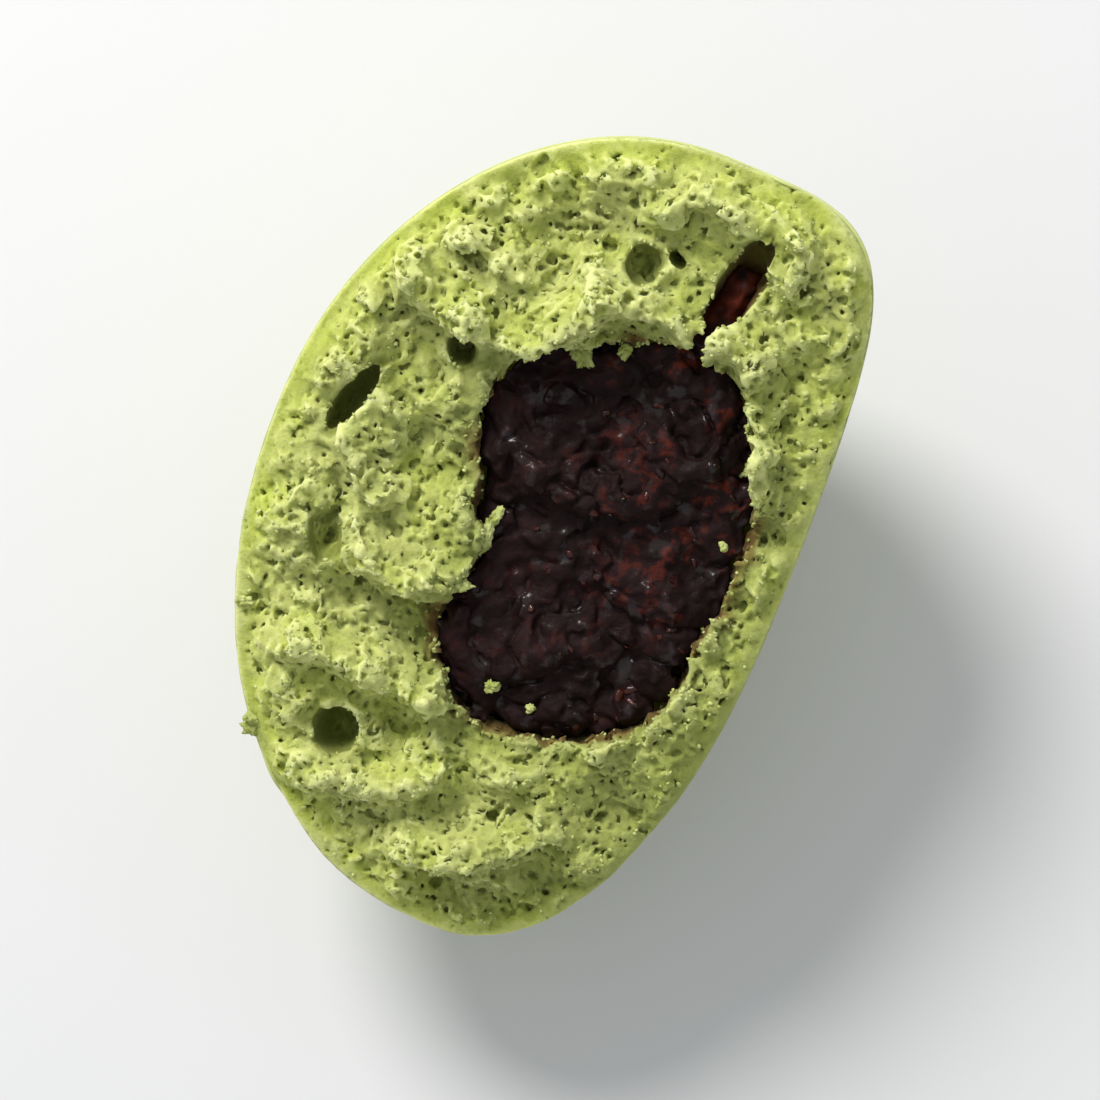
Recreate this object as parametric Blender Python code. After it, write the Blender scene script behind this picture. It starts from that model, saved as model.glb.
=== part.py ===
"""Half of a steamed green bun, torn open round its red bean paste and lying on its skin.

Lengths are in metres. Every shape is made in the tear frame: X runs along the torn face from its lower to its
upper end, Y from the bun's base to its crown, and Z points out of the torn face. An empty then lays the half down.
"""

import math
from collections import namedtuple

import bmesh
import bpy
from mathutils import Matrix, Vector, noise

MM = 0.001

# The whole bun, measured from the middle of its torn face
HALF_LENGTH = 43.2 * MM
HALF_DEPTH = 41.0 * MM
CROWN_RISE = 34.1 * MM
BASE_DROP = 20.9 * MM
CROWN_FULLNESS = 2.06
BASE_FULLNESS_LOWER = 2.15
BASE_FULLNESS_UPPER = 4.4
SKIN_WAVE = 0.9 * MM
SKIN_WAVE_LENGTH = 30 * MM
SKIN_SEED = 5
SKIN_SEGMENTS = 68
SKIN_RINGS = 38

# How the half lies: looked down on from this height, its torn face is rolled to the right and its upper end is
# nearer. It rests on a small flat that its own weight presses into the skin.
VIEW_HEIGHT_DEG = 85.0
FACE_ROLL_DEG = 21.5
FACE_LEAN_DEG = 14.0
REST_SINK = 2.2 * MM
REST_BLEND = 0.3 * MM

# The tear
TEAR_STEP = 1.12 * MM
TEAR_MARGIN = 4 * MM
CUTTER_HEIGHT = HALF_DEPTH + TEAR_MARGIN
SWELL_HEIGHT = 1.5 * MM
SWELL_LENGTH = 17 * MM
SWELL_SEED = 3
LUMP_HEIGHT = 1.35 * MM
LUMP_LENGTH = 5.2 * MM
LUMP_SEED = 7
CRAG_HEIGHT = 0.55 * MM
CRAG_LENGTH = 2.3 * MM
CRAG_SEED = 23
WARP = 1.1 * MM
WARP_LENGTH = 4.5 * MM
WARP_SEEDS = (11, 17)
RIM_ROLL = 1.1 * MM
RIM_ROLL_UPPER = 1.5 * MM
RIM_REACH = 2.6 * MM
LEDGE_END_FADE = 1.8 * MM

# A ledge is a torn fold that stands proud: gentle on its upper side, steep on its lower one. Its bend is how far
# the middle of its run lies towards the upper end.
Ledge = namedtuple("Ledge", "start end bend height gentle steep")
LEDGES = (
    Ledge((0.0212, 0.0270), (0.0178, 0.0186), 0.0002, 0.0022, 0.0030, 0.0013),
    Ledge((0.0178, 0.0186), (0.0248, 0.0076), -0.0024, 0.0032, 0.0034, 0.0012),
    Ledge((0.0248, 0.0076), (0.0252, -0.0010), 0.0006, 0.0024, 0.0026, 0.0012),
    Ledge((0.0256, 0.0220), (0.0252, 0.0155), 0.0000, 0.0013, 0.0014, 0.0009),
    Ledge((0.0030, 0.0272), (-0.0014, 0.0208), -0.0004, 0.0018, 0.0024, 0.0011),
    Ledge((-0.0056, 0.0226), (-0.0088, 0.0138), -0.0018, 0.0024, 0.0030, 0.0012),
    Ledge((-0.0192, 0.0240), (-0.0197, 0.0086), -0.0004, 0.0027, 0.0030, 0.0013),
    Ledge((-0.0328, 0.0205), (-0.0276, 0.0056), -0.0006, 0.0023, 0.0024, 0.0012),
    Ledge((-0.0362, 0.0050), (-0.0292, -0.0068), -0.0012, 0.0028, 0.0028, 0.0011),
    Ledge((0.0366, 0.0032), (0.0372, -0.0036), 0.0024, 0.0018, 0.0018, 0.0011),
    Ledge((0.0404, -0.0056), (0.0358, -0.0102), 0.0004, 0.0013, 0.0012, 0.0012),
    Ledge((0.0262, -0.0052), (0.0238, -0.0096), 0.0002, 0.0027, 0.0022, 0.0020),
    Ledge((0.0200, -0.0116), (0.0136, -0.0140), 0.0000, 0.0021, 0.0015, 0.0019),
    Ledge((-0.0098, -0.0118), (-0.0180, -0.0088), 0.0000, 0.0011, 0.0018, 0.0014),
)

# A hollow is a broad dip in the torn face, or a rise where its depth is negative
Hollow = namedtuple("Hollow", "x y half_x half_y depth")
HOLLOWS = (
    Hollow(-0.0345, 0.0110, 0.0028, 0.0070, 0.0014),
    Hollow(-0.0392, -0.0040, 0.0030, 0.0085, 0.0016),
    Hollow(-0.0235, 0.0130, 0.0030, 0.0070, 0.0010),
    Hollow(0.0020, 0.0180, 0.0070, 0.0042, 0.0015),
    Hollow(-0.0125, 0.0165, 0.0030, 0.0050, 0.0011),
    Hollow(0.0150, 0.0230, 0.0030, 0.0030, 0.0014),
    Hollow(0.0310, 0.0090, 0.0035, 0.0090, 0.0010),
    Hollow(0.0050, -0.0165, 0.0150, 0.0020, 0.0010),
    Hollow(-0.0260, -0.0010, 0.0040, 0.0050, -0.0012),
    Hollow(0.0120, 0.0295, 0.0050, 0.0020, -0.0010),
)

# A bubble is a gas hole that the tear opened. Its long axis is turned from X towards Y by its bearing, and its
# centre lies below the torn face.
Bubble = namedtuple("Bubble", "x y below long short deep bearing")
BUBBLES = (
    Bubble(-0.0266, 0.0167, 0.0012, 0.0027, 0.0024, 0.0042, 0),
    Bubble(0.0070, 0.0271, 0.0006, 0.0044, 0.0014, 0.0034, -17),
    Bubble(0.0301, 0.0046, 0.0004, 0.0022, 0.0018, 0.0021, 20),
    Bubble(0.0318, 0.0016, 0.0004, 0.0011, 0.0007, 0.0019, 60),
    Bubble(0.0312, -0.0051, 0.0008, 0.0074, 0.0021, 0.0036, -10),
    Bubble(-0.0075, 0.0247, 0.0000, 0.0029, 0.0018, 0.0018, 10),
    Bubble(0.0156, 0.0186, 0.0012, 0.0019, 0.0014, 0.0036, 30),
)
BUBBLE_SEGMENTS = 12
BUBBLE_RINGS = 8

# The bean paste: its radius every 20 degrees round the torn face from the upper end, and its depth behind it
PASTE_X = 1.4 * MM
PASTE_Y = -1.3 * MM
PASTE_RADII = [
    radius * MM
    for radius in (
        22.8, 20.8, 21.2, 18.6, 14.2, 12.2, 12.8, 19.4, 22.4,
        22.2, 20.8, 18.8, 15.4, 14.2, 14.4, 16.2, 18.2, 22.0,
    )
]
PASTE_DEPTH = 17.5 * MM
PASTE_FRONT = 11 * MM
PASTE_WALL = 1.4
PASTE_SEGMENTS = 38
PASTE_RINGS = 20
PASTE_LUMP = 0.8 * MM
PASTE_LUMP_LENGTH = 9 * MM
PASTE_LUMP_SEED = 41
PASTE_GAP = 0.3 * MM
PASTE_SINK = 1.0 * MM
PASTE_STEP = 1.26 * MM
PASTE_SWELL = 0.9 * MM
PASTE_SWELL_LENGTH = 8.5 * MM
PASTE_SWELL_SEED = 31
PASTE_MASH = 0.6 * MM
PASTE_MASH_LENGTH = 3.2 * MM
PASTE_MASH_SEED = 37
PASTE_EDGE_DIP = 0.9 * MM
PASTE_EDGE_REACH = 1.6 * MM
PASTE_LEDGES = (
    Ledge((0.0076, 0.0120), (0.0130, -0.0090), -0.0050, 0.0017, 0.0050, 0.0016),
    Ledge((-0.0020, -0.0100), (-0.0110, 0.0010), -0.0020, 0.0012, 0.0032, 0.0016),
    Ledge((-0.0080, 0.0120), (-0.0160, 0.0040), -0.0020, 0.0011, 0.0036, 0.0018),
)

DOUGH_COLOUR = (0.47, 0.55, 0.17, 1)
PASTE_COLOUR = (0.035, 0.012, 0.011, 1)
DOUGH_ROUGHNESS = 0.75
PASTE_ROUGHNESS = 0.4
CREASE_DEG = 50


def clear_scene():
    """Removes whatever objects the scene starts with."""
    for obj in list(bpy.data.objects):
        bpy.data.objects.remove(obj)


def new_collection(name):
    """An empty collection in the scene."""
    collection = bpy.data.collections.new(name)
    bpy.context.scene.collection.children.link(collection)
    return collection


def material(name, colour, roughness):
    """A plain Principled finish."""
    made = bpy.data.materials.new(name)
    made.use_nodes = True
    shader = made.node_tree.nodes["Principled BSDF"]
    shader.inputs["Base Color"].default_value = colour
    shader.inputs["Roughness"].default_value = roughness
    shader.inputs["Metallic"].default_value = 0
    return made


def mix(low, high, share):
    """The value that share, from 0 to 1, picks between low and high."""
    return low + (high - low) * share


def wave(x, y, z, length, seed):
    """Smooth noise from about -1 to 1 with features of that length."""
    place = Vector((x, y, z)) / length
    return noise.noise(place + Vector((seed, 2.3 * seed, 0.7 * seed)))


def base_fullness(across):
    """How square the base's corner is, from the lower end, across -1, to the upper end, across 1."""
    return mix(BASE_FULLNESS_LOWER, BASE_FULLNESS_UPPER, (1 + across) / 2)


def bun_point(direction):
    """Where the bun's skin lies in a direction from the middle of the bun."""
    flat = Vector((direction.x, direction.z))
    reach = flat.length
    across = flat.x / reach if reach else 0
    plan = Vector((flat.x / HALF_LENGTH, flat.y / HALF_DEPTH)).length
    rise = CROWN_RISE if direction.y > 0 else BASE_DROP
    power = CROWN_FULLNESS if direction.y > 0 else base_fullness(across)
    radius = (plan**power + (abs(direction.y) / rise) ** power) ** (-1 / power)
    point = direction * radius
    return point + direction * SKIN_WAVE * wave(*point, SKIN_WAVE_LENGTH, SKIN_SEED)


def rim_distance(x, y):
    """About how far a point of the torn face lies inside the bun's rim, and 0 outside it."""
    reach = math.hypot(x, y)
    if reach < MM:
        return BASE_DROP
    rise = CROWN_RISE if y > 0 else BASE_DROP
    power = CROWN_FULLNESS if y > 0 else base_fullness(x / HALF_LENGTH)
    share = ((abs(x) / HALF_LENGTH) ** power + (abs(y) / rise) ** power) ** (1 / power)
    return max(0.0, 1 - share) * reach / share


def tear_axes():
    """The tear frame's X, Y and Z as world directions, with the half lying down."""
    view = math.radians(VIEW_HEIGHT_DEG)
    roll = math.radians(FACE_ROLL_DEG)
    lean = math.radians(FACE_LEAN_DEG)
    to_camera = Vector((0, -math.cos(view), math.sin(view)))
    picture_up = Vector((0, math.sin(view), math.cos(view)))
    picture_right = Vector((1, 0, 0))
    seen_x = picture_right * math.sin(roll) + picture_up * math.cos(roll)
    along_y = picture_up * math.sin(roll) - picture_right * math.cos(roll)
    along_x = seen_x * math.cos(lean) + to_camera * math.sin(lean)
    along_z = to_camera * math.cos(lean) - seen_x * math.sin(lean)
    return Matrix((along_x, along_y, along_z)).transposed()


TEAR_TO_WORLD = tear_axes()
DOWN = -Vector(TEAR_TO_WORLD.row[2])


def press_flat(vertices):
    """Presses the skin flat where the half rests, with a soft edge round the flat spot."""
    floor = max(vertex.co.dot(DOWN) for vertex in vertices) - REST_SINK
    for vertex in vertices:
        above = floor - vertex.co.dot(DOWN)
        if above > REST_BLEND:
            continue
        kept = max(0.0, above + REST_BLEND) ** 2 / (4 * REST_BLEND)
        vertex.co += DOWN * (above - kept)


def ledge_height(ledge, x, y):
    """How far a ledge stands proud at a point of the torn face."""
    start = Vector(ledge.start)
    run = Vector(ledge.end) - start
    along = run.normalized()
    across = Vector((-along.y, along.x))
    if across.x < 0:
        across = -across
    offset = Vector((x, y)) - start
    share = offset.dot(along) / run.length
    inside = min(1.0, max(0.0, share))
    beyond = abs(share - inside) * run.length
    rise = offset.dot(across) - ledge.bend * 4 * inside * (1 - inside)
    width = ledge.gentle if rise > 0 else ledge.steep
    return ledge.height * math.exp(-((rise / width) ** 2) - (beyond / LEDGE_END_FADE) ** 2)


def hollow_depth(hollow, x, y):
    """How deep a hollow dips at a point of the torn face."""
    across = (x - hollow.x) / hollow.half_x
    along = (y - hollow.y) / hollow.half_y
    return hollow.depth * math.exp(-(across**2) - along**2)


def tear_height(x, y):
    """The torn crumb's height over the tear plane."""
    warped_x = x + WARP * wave(x, y, 0, WARP_LENGTH, WARP_SEEDS[0])
    warped_y = y + WARP * wave(x, y, 0, WARP_LENGTH, WARP_SEEDS[1])
    inner = rim_distance(x, y)
    fade = min(1.0, inner / RIM_REACH)
    roll = mix(RIM_ROLL, RIM_ROLL_UPPER, min(1.0, max(0.0, x / HALF_LENGTH)))
    height = SWELL_HEIGHT * wave(x, y, 0, SWELL_LENGTH, SWELL_SEED)
    height += LUMP_HEIGHT * wave(warped_x, warped_y, 0, LUMP_LENGTH, LUMP_SEED) * fade
    height += CRAG_HEIGHT * wave(warped_x, warped_y, 0, CRAG_LENGTH, CRAG_SEED) * fade
    height += fade * sum(ledge_height(ledge, warped_x, warped_y) for ledge in LEDGES)
    height -= fade * sum(hollow_depth(hollow, x, y) for hollow in HOLLOWS)
    return height - roll * math.exp(-((inner / RIM_REACH) ** 2))


def paste_radius(angle):
    """The paste's radius round the torn face at an angle from X, smooth through the named radii."""
    count = len(PASTE_RADII)
    place = angle / math.tau * count
    first = math.floor(place)
    share = place - first
    before, start, end, after = (PASTE_RADII[(first + k) % count] for k in (-1, 0, 1, 2))
    slope_in = (end - before) / 2
    slope_out = (after - start) / 2
    cubic = 2 * start - 2 * end + slope_in + slope_out
    square = -3 * start + 3 * end - 2 * slope_in - slope_out
    return ((cubic * share + square) * share + slope_in) * share + start


def paste_height(x, y):
    """The torn paste's height over the tear plane."""
    offset = Vector((x - PASTE_X, y - PASTE_Y))
    edge = max(0.0, paste_radius(math.atan2(offset.y, offset.x)) - offset.length)
    height = PASTE_SWELL * wave(x, y, 0, PASTE_SWELL_LENGTH, PASTE_SWELL_SEED) - PASTE_SINK
    height += PASTE_MASH * wave(x, y, 0, PASTE_MASH_LENGTH, PASTE_MASH_SEED)
    height += sum(ledge_height(ledge, x, y) for ledge in PASTE_LEDGES)
    return height - PASTE_EDGE_DIP * math.exp(-((edge / PASTE_EDGE_REACH) ** 2))


def mesh_object(name, mesh, collection):
    """Adds an object for a finished mesh to a collection."""
    obj = bpy.data.objects.new(name, mesh)
    collection.objects.link(obj)
    return obj


def ball(segments, rings):
    """A bmesh ball of radius 1 with its poles on Z."""
    shape = bmesh.new()
    bmesh.ops.create_uvsphere(shape, u_segments=segments, v_segments=rings, radius=1)
    return shape


def finished_mesh(shape, name):
    """The mesh of a bmesh shape, in flat triangles that point out, as clean cuts need."""
    bmesh.ops.triangulate(shape, faces=shape.faces)
    bmesh.ops.recalc_face_normals(shape, faces=shape.faces)
    mesh = bpy.data.meshes.new(name)
    shape.to_mesh(mesh)
    shape.free()
    return mesh


def make_bun(collection):
    """The bun before it is torn: a ball brought to the bun's form, with its poles at the crown and the base."""
    shape = ball(SKIN_SEGMENTS, SKIN_RINGS)
    for vertex in shape.verts:
        direction = Vector((vertex.co.x, vertex.co.z, -vertex.co.y)).normalized()
        vertex.co = bun_point(direction)
    press_flat(shape.verts)
    return mesh_object("dough", finished_mesh(shape, "dough"), collection)


def make_tear(name, height, half_x, low_y, high_y, step, collection):
    """A cutter that takes all that stands above a torn surface."""
    shape = bmesh.new()
    columns = round(2 * half_x / step)
    rows = round((high_y - low_y) / step)
    bmesh.ops.create_grid(shape, x_segments=columns, y_segments=rows, size=1)
    for vertex in shape.verts:
        x = vertex.co.x * half_x
        y = mix(low_y, high_y, (1 + vertex.co.y) / 2)
        vertex.co = Vector((x, y, height(x, y)))
    lid = bmesh.ops.extrude_face_region(shape, geom=shape.faces[:])
    for vertex in (item for item in lid["geom"] if isinstance(item, bmesh.types.BMVert)):
        vertex.co.z = CUTTER_HEIGHT
    return mesh_object(name, finished_mesh(shape, name), collection)


def make_paste_body(name, grow, collection):
    """The lump of paste before it is torn, grown all round by a gap."""
    shape = ball(PASTE_SEGMENTS, PASTE_RINGS)
    for vertex in shape.verts:
        flat = math.hypot(vertex.co.x, vertex.co.y)
        if vertex.co.z > 0:
            flat = min(1.0, flat * PASTE_WALL)
        angle = math.atan2(vertex.co.y, vertex.co.x)
        depth = PASTE_FRONT if vertex.co.z > 0 else PASTE_DEPTH
        lump = PASTE_LUMP * wave(*(vertex.co * CROWN_RISE), PASTE_LUMP_LENGTH, PASTE_LUMP_SEED)
        radius = (paste_radius(angle) + lump + grow) * flat
        x = PASTE_X + radius * math.cos(angle)
        y = PASTE_Y + radius * math.sin(angle)
        vertex.co = Vector((x, y, vertex.co.z * (depth + grow)))
    return mesh_object(name, finished_mesh(shape, name), collection)


def make_bubble(number, bubble, collection):
    """One gas hole, as a cutter."""
    shape = ball(BUBBLE_SEGMENTS, BUBBLE_RINGS)
    bmesh.ops.scale(shape, vec=(bubble.long, bubble.short, bubble.deep), verts=shape.verts)
    name = f"bubble_{number}"
    obj = mesh_object(name, finished_mesh(shape, name), collection)
    obj.location = (bubble.x, bubble.y, tear_height(bubble.x, bubble.y) - bubble.below)
    obj.rotation_euler.z = math.radians(bubble.bearing)
    return obj


def cut(obj, name, cutter=None, cutters=None):
    """Takes a cutter, or every cutter of a collection, out of an object."""
    boolean = obj.modifiers.new(name, "BOOLEAN")
    boolean.operation = "DIFFERENCE"
    boolean.solver = "EXACT"
    if cutters is not None:
        boolean.operand_type = "COLLECTION"
        boolean.collection = cutters
    else:
        boolean.object = cutter


def finish(obj, colour_material):
    """Splits a piece's faces into well-shaped triangles and gives it its finish and smooth shading."""
    triangles = obj.modifiers.new("triangles", "TRIANGULATE")
    triangles.quad_method = "BEAUTY"
    triangles.ngon_method = "BEAUTY"
    obj.data.materials.append(colour_material)
    obj.data.shade_smooth()
    obj.data.set_sharp_from_angle(angle=math.radians(CREASE_DEG))


def lay_down(pieces, helpers):
    """Parents everything to an empty that rests the half on the ground, centred over the origin."""
    pose = bpy.data.objects.new("resting_pose", None)
    bpy.context.scene.collection.objects.link(pose)
    for obj in pieces + helpers:
        obj.parent = pose
    pose.matrix_world = TEAR_TO_WORLD.to_4x4()
    bpy.context.view_layer.update()
    graph = bpy.context.evaluated_depsgraph_get()
    corners = []
    for obj in pieces:
        evaluated = obj.evaluated_get(graph)
        corners += [evaluated.matrix_world @ vertex.co for vertex in evaluated.data.vertices]
    low = Vector([min(corner[k] for corner in corners) for k in range(3)])
    high = Vector([max(corner[k] for corner in corners) for k in range(3)])
    pose.location = (-(low.x + high.x) / 2, -(low.y + high.y) / 2, -low.z)


def main():
    """Builds the dough and the paste, tears both open and lays the half down."""
    clear_scene()
    parts = new_collection("manju_half")
    cutters = new_collection("cutters")
    holes = new_collection("bubble_cutters")

    dough = make_bun(parts)
    paste = make_paste_body("bean_paste", 0, parts)
    edge_x = HALF_LENGTH + TEAR_MARGIN
    edge_low = -BASE_DROP - TEAR_MARGIN
    edge_high = CROWN_RISE + TEAR_MARGIN
    tear = make_tear("tear", tear_height, edge_x, edge_low, edge_high, TEAR_STEP, cutters)
    torn_paste = make_tear("torn_paste", paste_height, edge_x, edge_low, edge_high, PASTE_STEP, cutters)
    cavity = make_paste_body("paste_room", PASTE_GAP, cutters)
    bubbles = [make_bubble(number, bubble, holes) for number, bubble in enumerate(BUBBLES)]

    cut(dough, "torn open", cutter=tear)
    cut(dough, "room for the paste", cutter=cavity)
    cut(dough, "gas holes", cutters=holes)
    cut(paste, "torn open", cutter=torn_paste)

    helpers = [tear, torn_paste, cavity, *bubbles]
    for helper in helpers:
        helper.hide_render = True
        helper.display_type = "WIRE"
    finish(dough, material("green_dough", DOUGH_COLOUR, DOUGH_ROUGHNESS))
    finish(paste, material("bean_paste", PASTE_COLOUR, PASTE_ROUGHNESS))
    lay_down([dough, paste], helpers)


main()
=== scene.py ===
"""Half of a steamed green bun, torn open round its dark bean paste: the looks, made over its solids."""

import functools
import logging
import math
from dataclasses import dataclass
from enum import Enum
from typing import Any

import bmesh
import bpy
from mathutils import Matrix, Vector, noise
from mathutils.bvhtree import BVHTree


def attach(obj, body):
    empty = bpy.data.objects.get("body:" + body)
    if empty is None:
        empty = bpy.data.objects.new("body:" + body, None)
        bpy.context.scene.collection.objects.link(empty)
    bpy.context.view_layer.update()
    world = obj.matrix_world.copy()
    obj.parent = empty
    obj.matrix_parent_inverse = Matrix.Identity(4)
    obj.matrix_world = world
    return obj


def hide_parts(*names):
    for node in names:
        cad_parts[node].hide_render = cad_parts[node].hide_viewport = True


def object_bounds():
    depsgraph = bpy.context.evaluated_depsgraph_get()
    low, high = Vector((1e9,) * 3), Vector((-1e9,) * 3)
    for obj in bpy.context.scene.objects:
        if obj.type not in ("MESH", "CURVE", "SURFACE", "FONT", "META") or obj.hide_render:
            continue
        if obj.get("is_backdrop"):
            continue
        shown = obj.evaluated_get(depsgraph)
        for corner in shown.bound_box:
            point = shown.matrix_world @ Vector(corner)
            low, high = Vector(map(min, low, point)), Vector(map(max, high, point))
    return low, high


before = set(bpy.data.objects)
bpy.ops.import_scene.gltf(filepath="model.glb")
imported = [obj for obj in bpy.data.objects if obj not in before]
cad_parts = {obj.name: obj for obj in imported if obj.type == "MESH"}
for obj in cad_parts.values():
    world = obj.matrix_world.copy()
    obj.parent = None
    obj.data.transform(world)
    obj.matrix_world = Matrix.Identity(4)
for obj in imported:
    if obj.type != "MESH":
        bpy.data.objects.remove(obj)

MM = 0.001
BODY = "root"

TO_BASE = (0.75, -0.66, 0.0)

log = logging.getLogger("manju")

Colour = tuple[float, float, float, float]


class Solid(Enum):
    """The solids that the dressed pieces stand for."""

    DOUGH = "dough"
    PASTE = "bean_paste"


class Slot(Enum):
    """The record's material slots."""

    DOUGH = "green_dough"
    PASTE = "bean_paste"


class Mark(Enum):
    """Values kept on a mesh's points for its finish to read, some of them for painted highlight and painted
    shade.
    """

    TIP = "tip"
    SWELL = "swell"
    # The distance to the paste: it drives the brown stain and a painted shade beside the paste.
    STAIN_AND_SHADE = "stain"
    HOLE = "in_hole"
    RIM = "rim"


class Term:
    """A socket of a node tree that Python's operators can build on."""

    def __init__(self, tree: "Tree", socket: bpy.types.NodeSocket) -> None:
        """Keeps the tree and the socket.

        Args:
            tree: The tree that further nodes are added to.
            socket: The output that the term stands for.
        """
        self.tree = tree
        self.socket = socket

    def maths(self, operation: str, *terms: "Term | float", clamp: bool = False) -> "Term":
        """One Math node.

        Args:
            operation: The Math node's operation.
            *terms: Its inputs in order.
            clamp: Whether the result is kept within 0 and 1.

        Returns:
            The node's result.
        """
        settings = {"operation": operation, "use_clamp": clamp}
        return self.tree.term("ShaderNodeMath", settings, dict(enumerate(terms)))

    def __add__(self, other: "Term | float") -> "Term":
        """The sum."""
        return self.maths("ADD", self, other)

    def __sub__(self, other: "Term | float") -> "Term":
        """The difference."""
        return self.maths("SUBTRACT", self, other)

    def __rsub__(self, other: float) -> "Term":
        """The difference, with a number first."""
        return self.maths("SUBTRACT", other, self)

    def __mul__(self, other: "Term | float") -> "Term":
        """The product."""
        return self.maths("MULTIPLY", self, other)

    def __truediv__(self, other: "Term | float") -> "Term":
        """The quotient."""
        return self.maths("DIVIDE", self, other)

    def __pow__(self, other: "Term | float") -> "Term":
        """The power."""
        return self.maths("POWER", self, other)

    def larger(self, other: "Term | float") -> "Term":
        """The larger of two values."""
        return self.maths("MAXIMUM", self, other)

    def smaller(self, other: "Term | float") -> "Term":
        """The smaller of two values."""
        return self.maths("MINIMUM", self, other)

    def over(self, limit: "Term | float") -> "Term":
        """1 where the value is over a limit and 0 elsewhere."""
        return self.maths("GREATER_THAN", self, limit)

    def size(self) -> "Term":
        """The value without its sign."""
        return self.maths("ABSOLUTE", self)

    def rounded_larger(self, other: "Term | float", width: float) -> "Term":
        """The larger of two values, rounded over where they are within a width of each other."""
        return self.maths("SMOOTH_MAX", self, other, width)

    def rounded_smaller(self, other: "Term | float", width: float) -> "Term":
        """The smaller of two values, rounded over where they are within a width of each other."""
        return self.maths("SMOOTH_MIN", self, other, width)

    def held(self) -> "Term":
        """The value kept within 0 and 1."""
        return self.maths("ADD", self, 0.0, clamp=True)

    def eased(self, low: float, high: float) -> "Term":
        """A smooth rise from 0 at low to 1 at high."""
        settings = {"interpolation_type": "SMOOTHSTEP"}
        return self.tree.term("ShaderNodeMapRange", settings, {0: self, 1: low, 2: high})


class Tree:
    """Adds nodes to a node tree, with their settings first and then their sockets."""

    def __init__(self, owner: bpy.types.NodeTree) -> None:
        """Keeps the tree that nodes are added to.

        Args:
            owner: Blender's node tree.
        """
        self.owner = owner

    def node(self, kind: str, settings: dict[str, Any], sockets: dict[Any, Any]) -> bpy.types.Node:
        """Adds a node.

        Args:
            kind: Blender's name for the type of node.
            settings: Its properties.
            sockets: Values, terms or sockets for its inputs, by name or by number.

        Returns:
            The new node.
        """
        made = self.owner.nodes.new(kind)
        for name, value in settings.items():
            setattr(made, name, value)
        for key, value in sockets.items():
            source = value.socket if isinstance(value, Term) else value
            if isinstance(source, bpy.types.NodeSocket):
                self.owner.links.new(source, made.inputs[key])
            else:
                made.inputs[key].default_value = source
        return made

    def term(self, kind: str, settings: dict[str, Any], sockets: dict[Any, Any], output: Any = 0) -> Term:
        """Adds a node and gives one of its outputs.

        Args:
            kind: Blender's name for the type of node.
            settings: Its properties.
            sockets: Values or links for its inputs.
            output: The output's name or number.

        Returns:
            The output as a term.
        """
        return Term(self, self.node(kind, settings, sockets).outputs[output])

    def vector(self, operation: str, *terms: Any, output: str = "Vector") -> Term:
        """One Vector Math node.

        Args:
            operation: The node's operation.
            *terms: Its inputs in order.
            output: Vector, or Value for a length or a dot product.

        Returns:
            The node's result.
        """
        return self.term("ShaderNodeVectorMath", {"operation": operation}, dict(enumerate(terms)), output)

    def scaled(self, vector: Term, factor: Any) -> Term:
        """A vector times a number."""
        return self.term("ShaderNodeVectorMath", {"operation": "SCALE"}, {0: vector, "Scale": factor})

    def axis(self, vector: Term, axis: str) -> Term:
        """One axis, X, Y or Z, of a vector."""
        return self.term("ShaderNodeSeparateXYZ", {}, {0: vector}, axis)

    def noise(
        self, place: Term, length: float, detail: float = 2.0, output: str = "Fac", **more: float
    ) -> Term:
        """Soft noise from 0 to 1.

        Args:
            place: Where it is read.
            length: The size of its features in metres.
            detail: How many finer layers it has.
            output: Fac for one number or Color for three.
            **more: Further sockets of the node, such as Roughness or Distortion.

        Returns:
            The noise.
        """
        sockets = {"Vector": place, "Scale": 1 / length, "Detail": detail, **more}
        return self.term("ShaderNodeTexNoise", {"noise_dimensions": "3D"}, sockets, output)

    def shift(self, place: Term, length: float, reach: Any, detail: float = 1.0) -> Term:
        """A place pushed about by soft noise.

        Args:
            place: The place before.
            length: The size of the noise's features in metres.
            reach: How far it pushes, in metres.
            detail: How many finer layers the noise has.

        Returns:
            The place after.
        """
        push = self.vector("SUBTRACT", self.noise(place, length, detail, "Color"), (0.5, 0.5, 0.5))
        return self.vector("ADD", place, self.scaled(push, reach))

    def cells(self, place: Term, length: float) -> tuple[Term, Term]:
        """Scattered points in space.

        Args:
            place: Where they are read.
            length: How far apart they are, in metres.

        Returns:
            The distance in metres to the nearest point, and that point's own random number.
        """
        settings = {"voronoi_dimensions": "3D", "feature": "F1"}
        node = self.node("ShaderNodeTexVoronoi", settings, {"Vector": place, "Scale": 1 / length})
        random = self.axis(Term(self, node.outputs["Color"]), "X")
        return Term(self, node.outputs["Distance"]) * length, random

    def mixed(self, share: Any, first: Any, second: Any) -> Term:
        """Two colours mixed.

        Args:
            share: How much of the second, from 0 to 1.
            first: A colour or term.
            second: A colour or term.

        Returns:
            The mixed colour.
        """
        sockets = {Mixer.SHARE.value: share, Mixer.FIRST.value: first, Mixer.SECOND.value: second}
        return self.term("ShaderNodeMix", {"data_type": "RGBA"}, sockets, Mixer.RESULT.value)


class Mixer(Enum):
    """The numbers of a Mix node's sockets when it mixes colours."""

    SHARE = 0
    FIRST = 6
    SECOND = 7
    RESULT = 2


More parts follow.
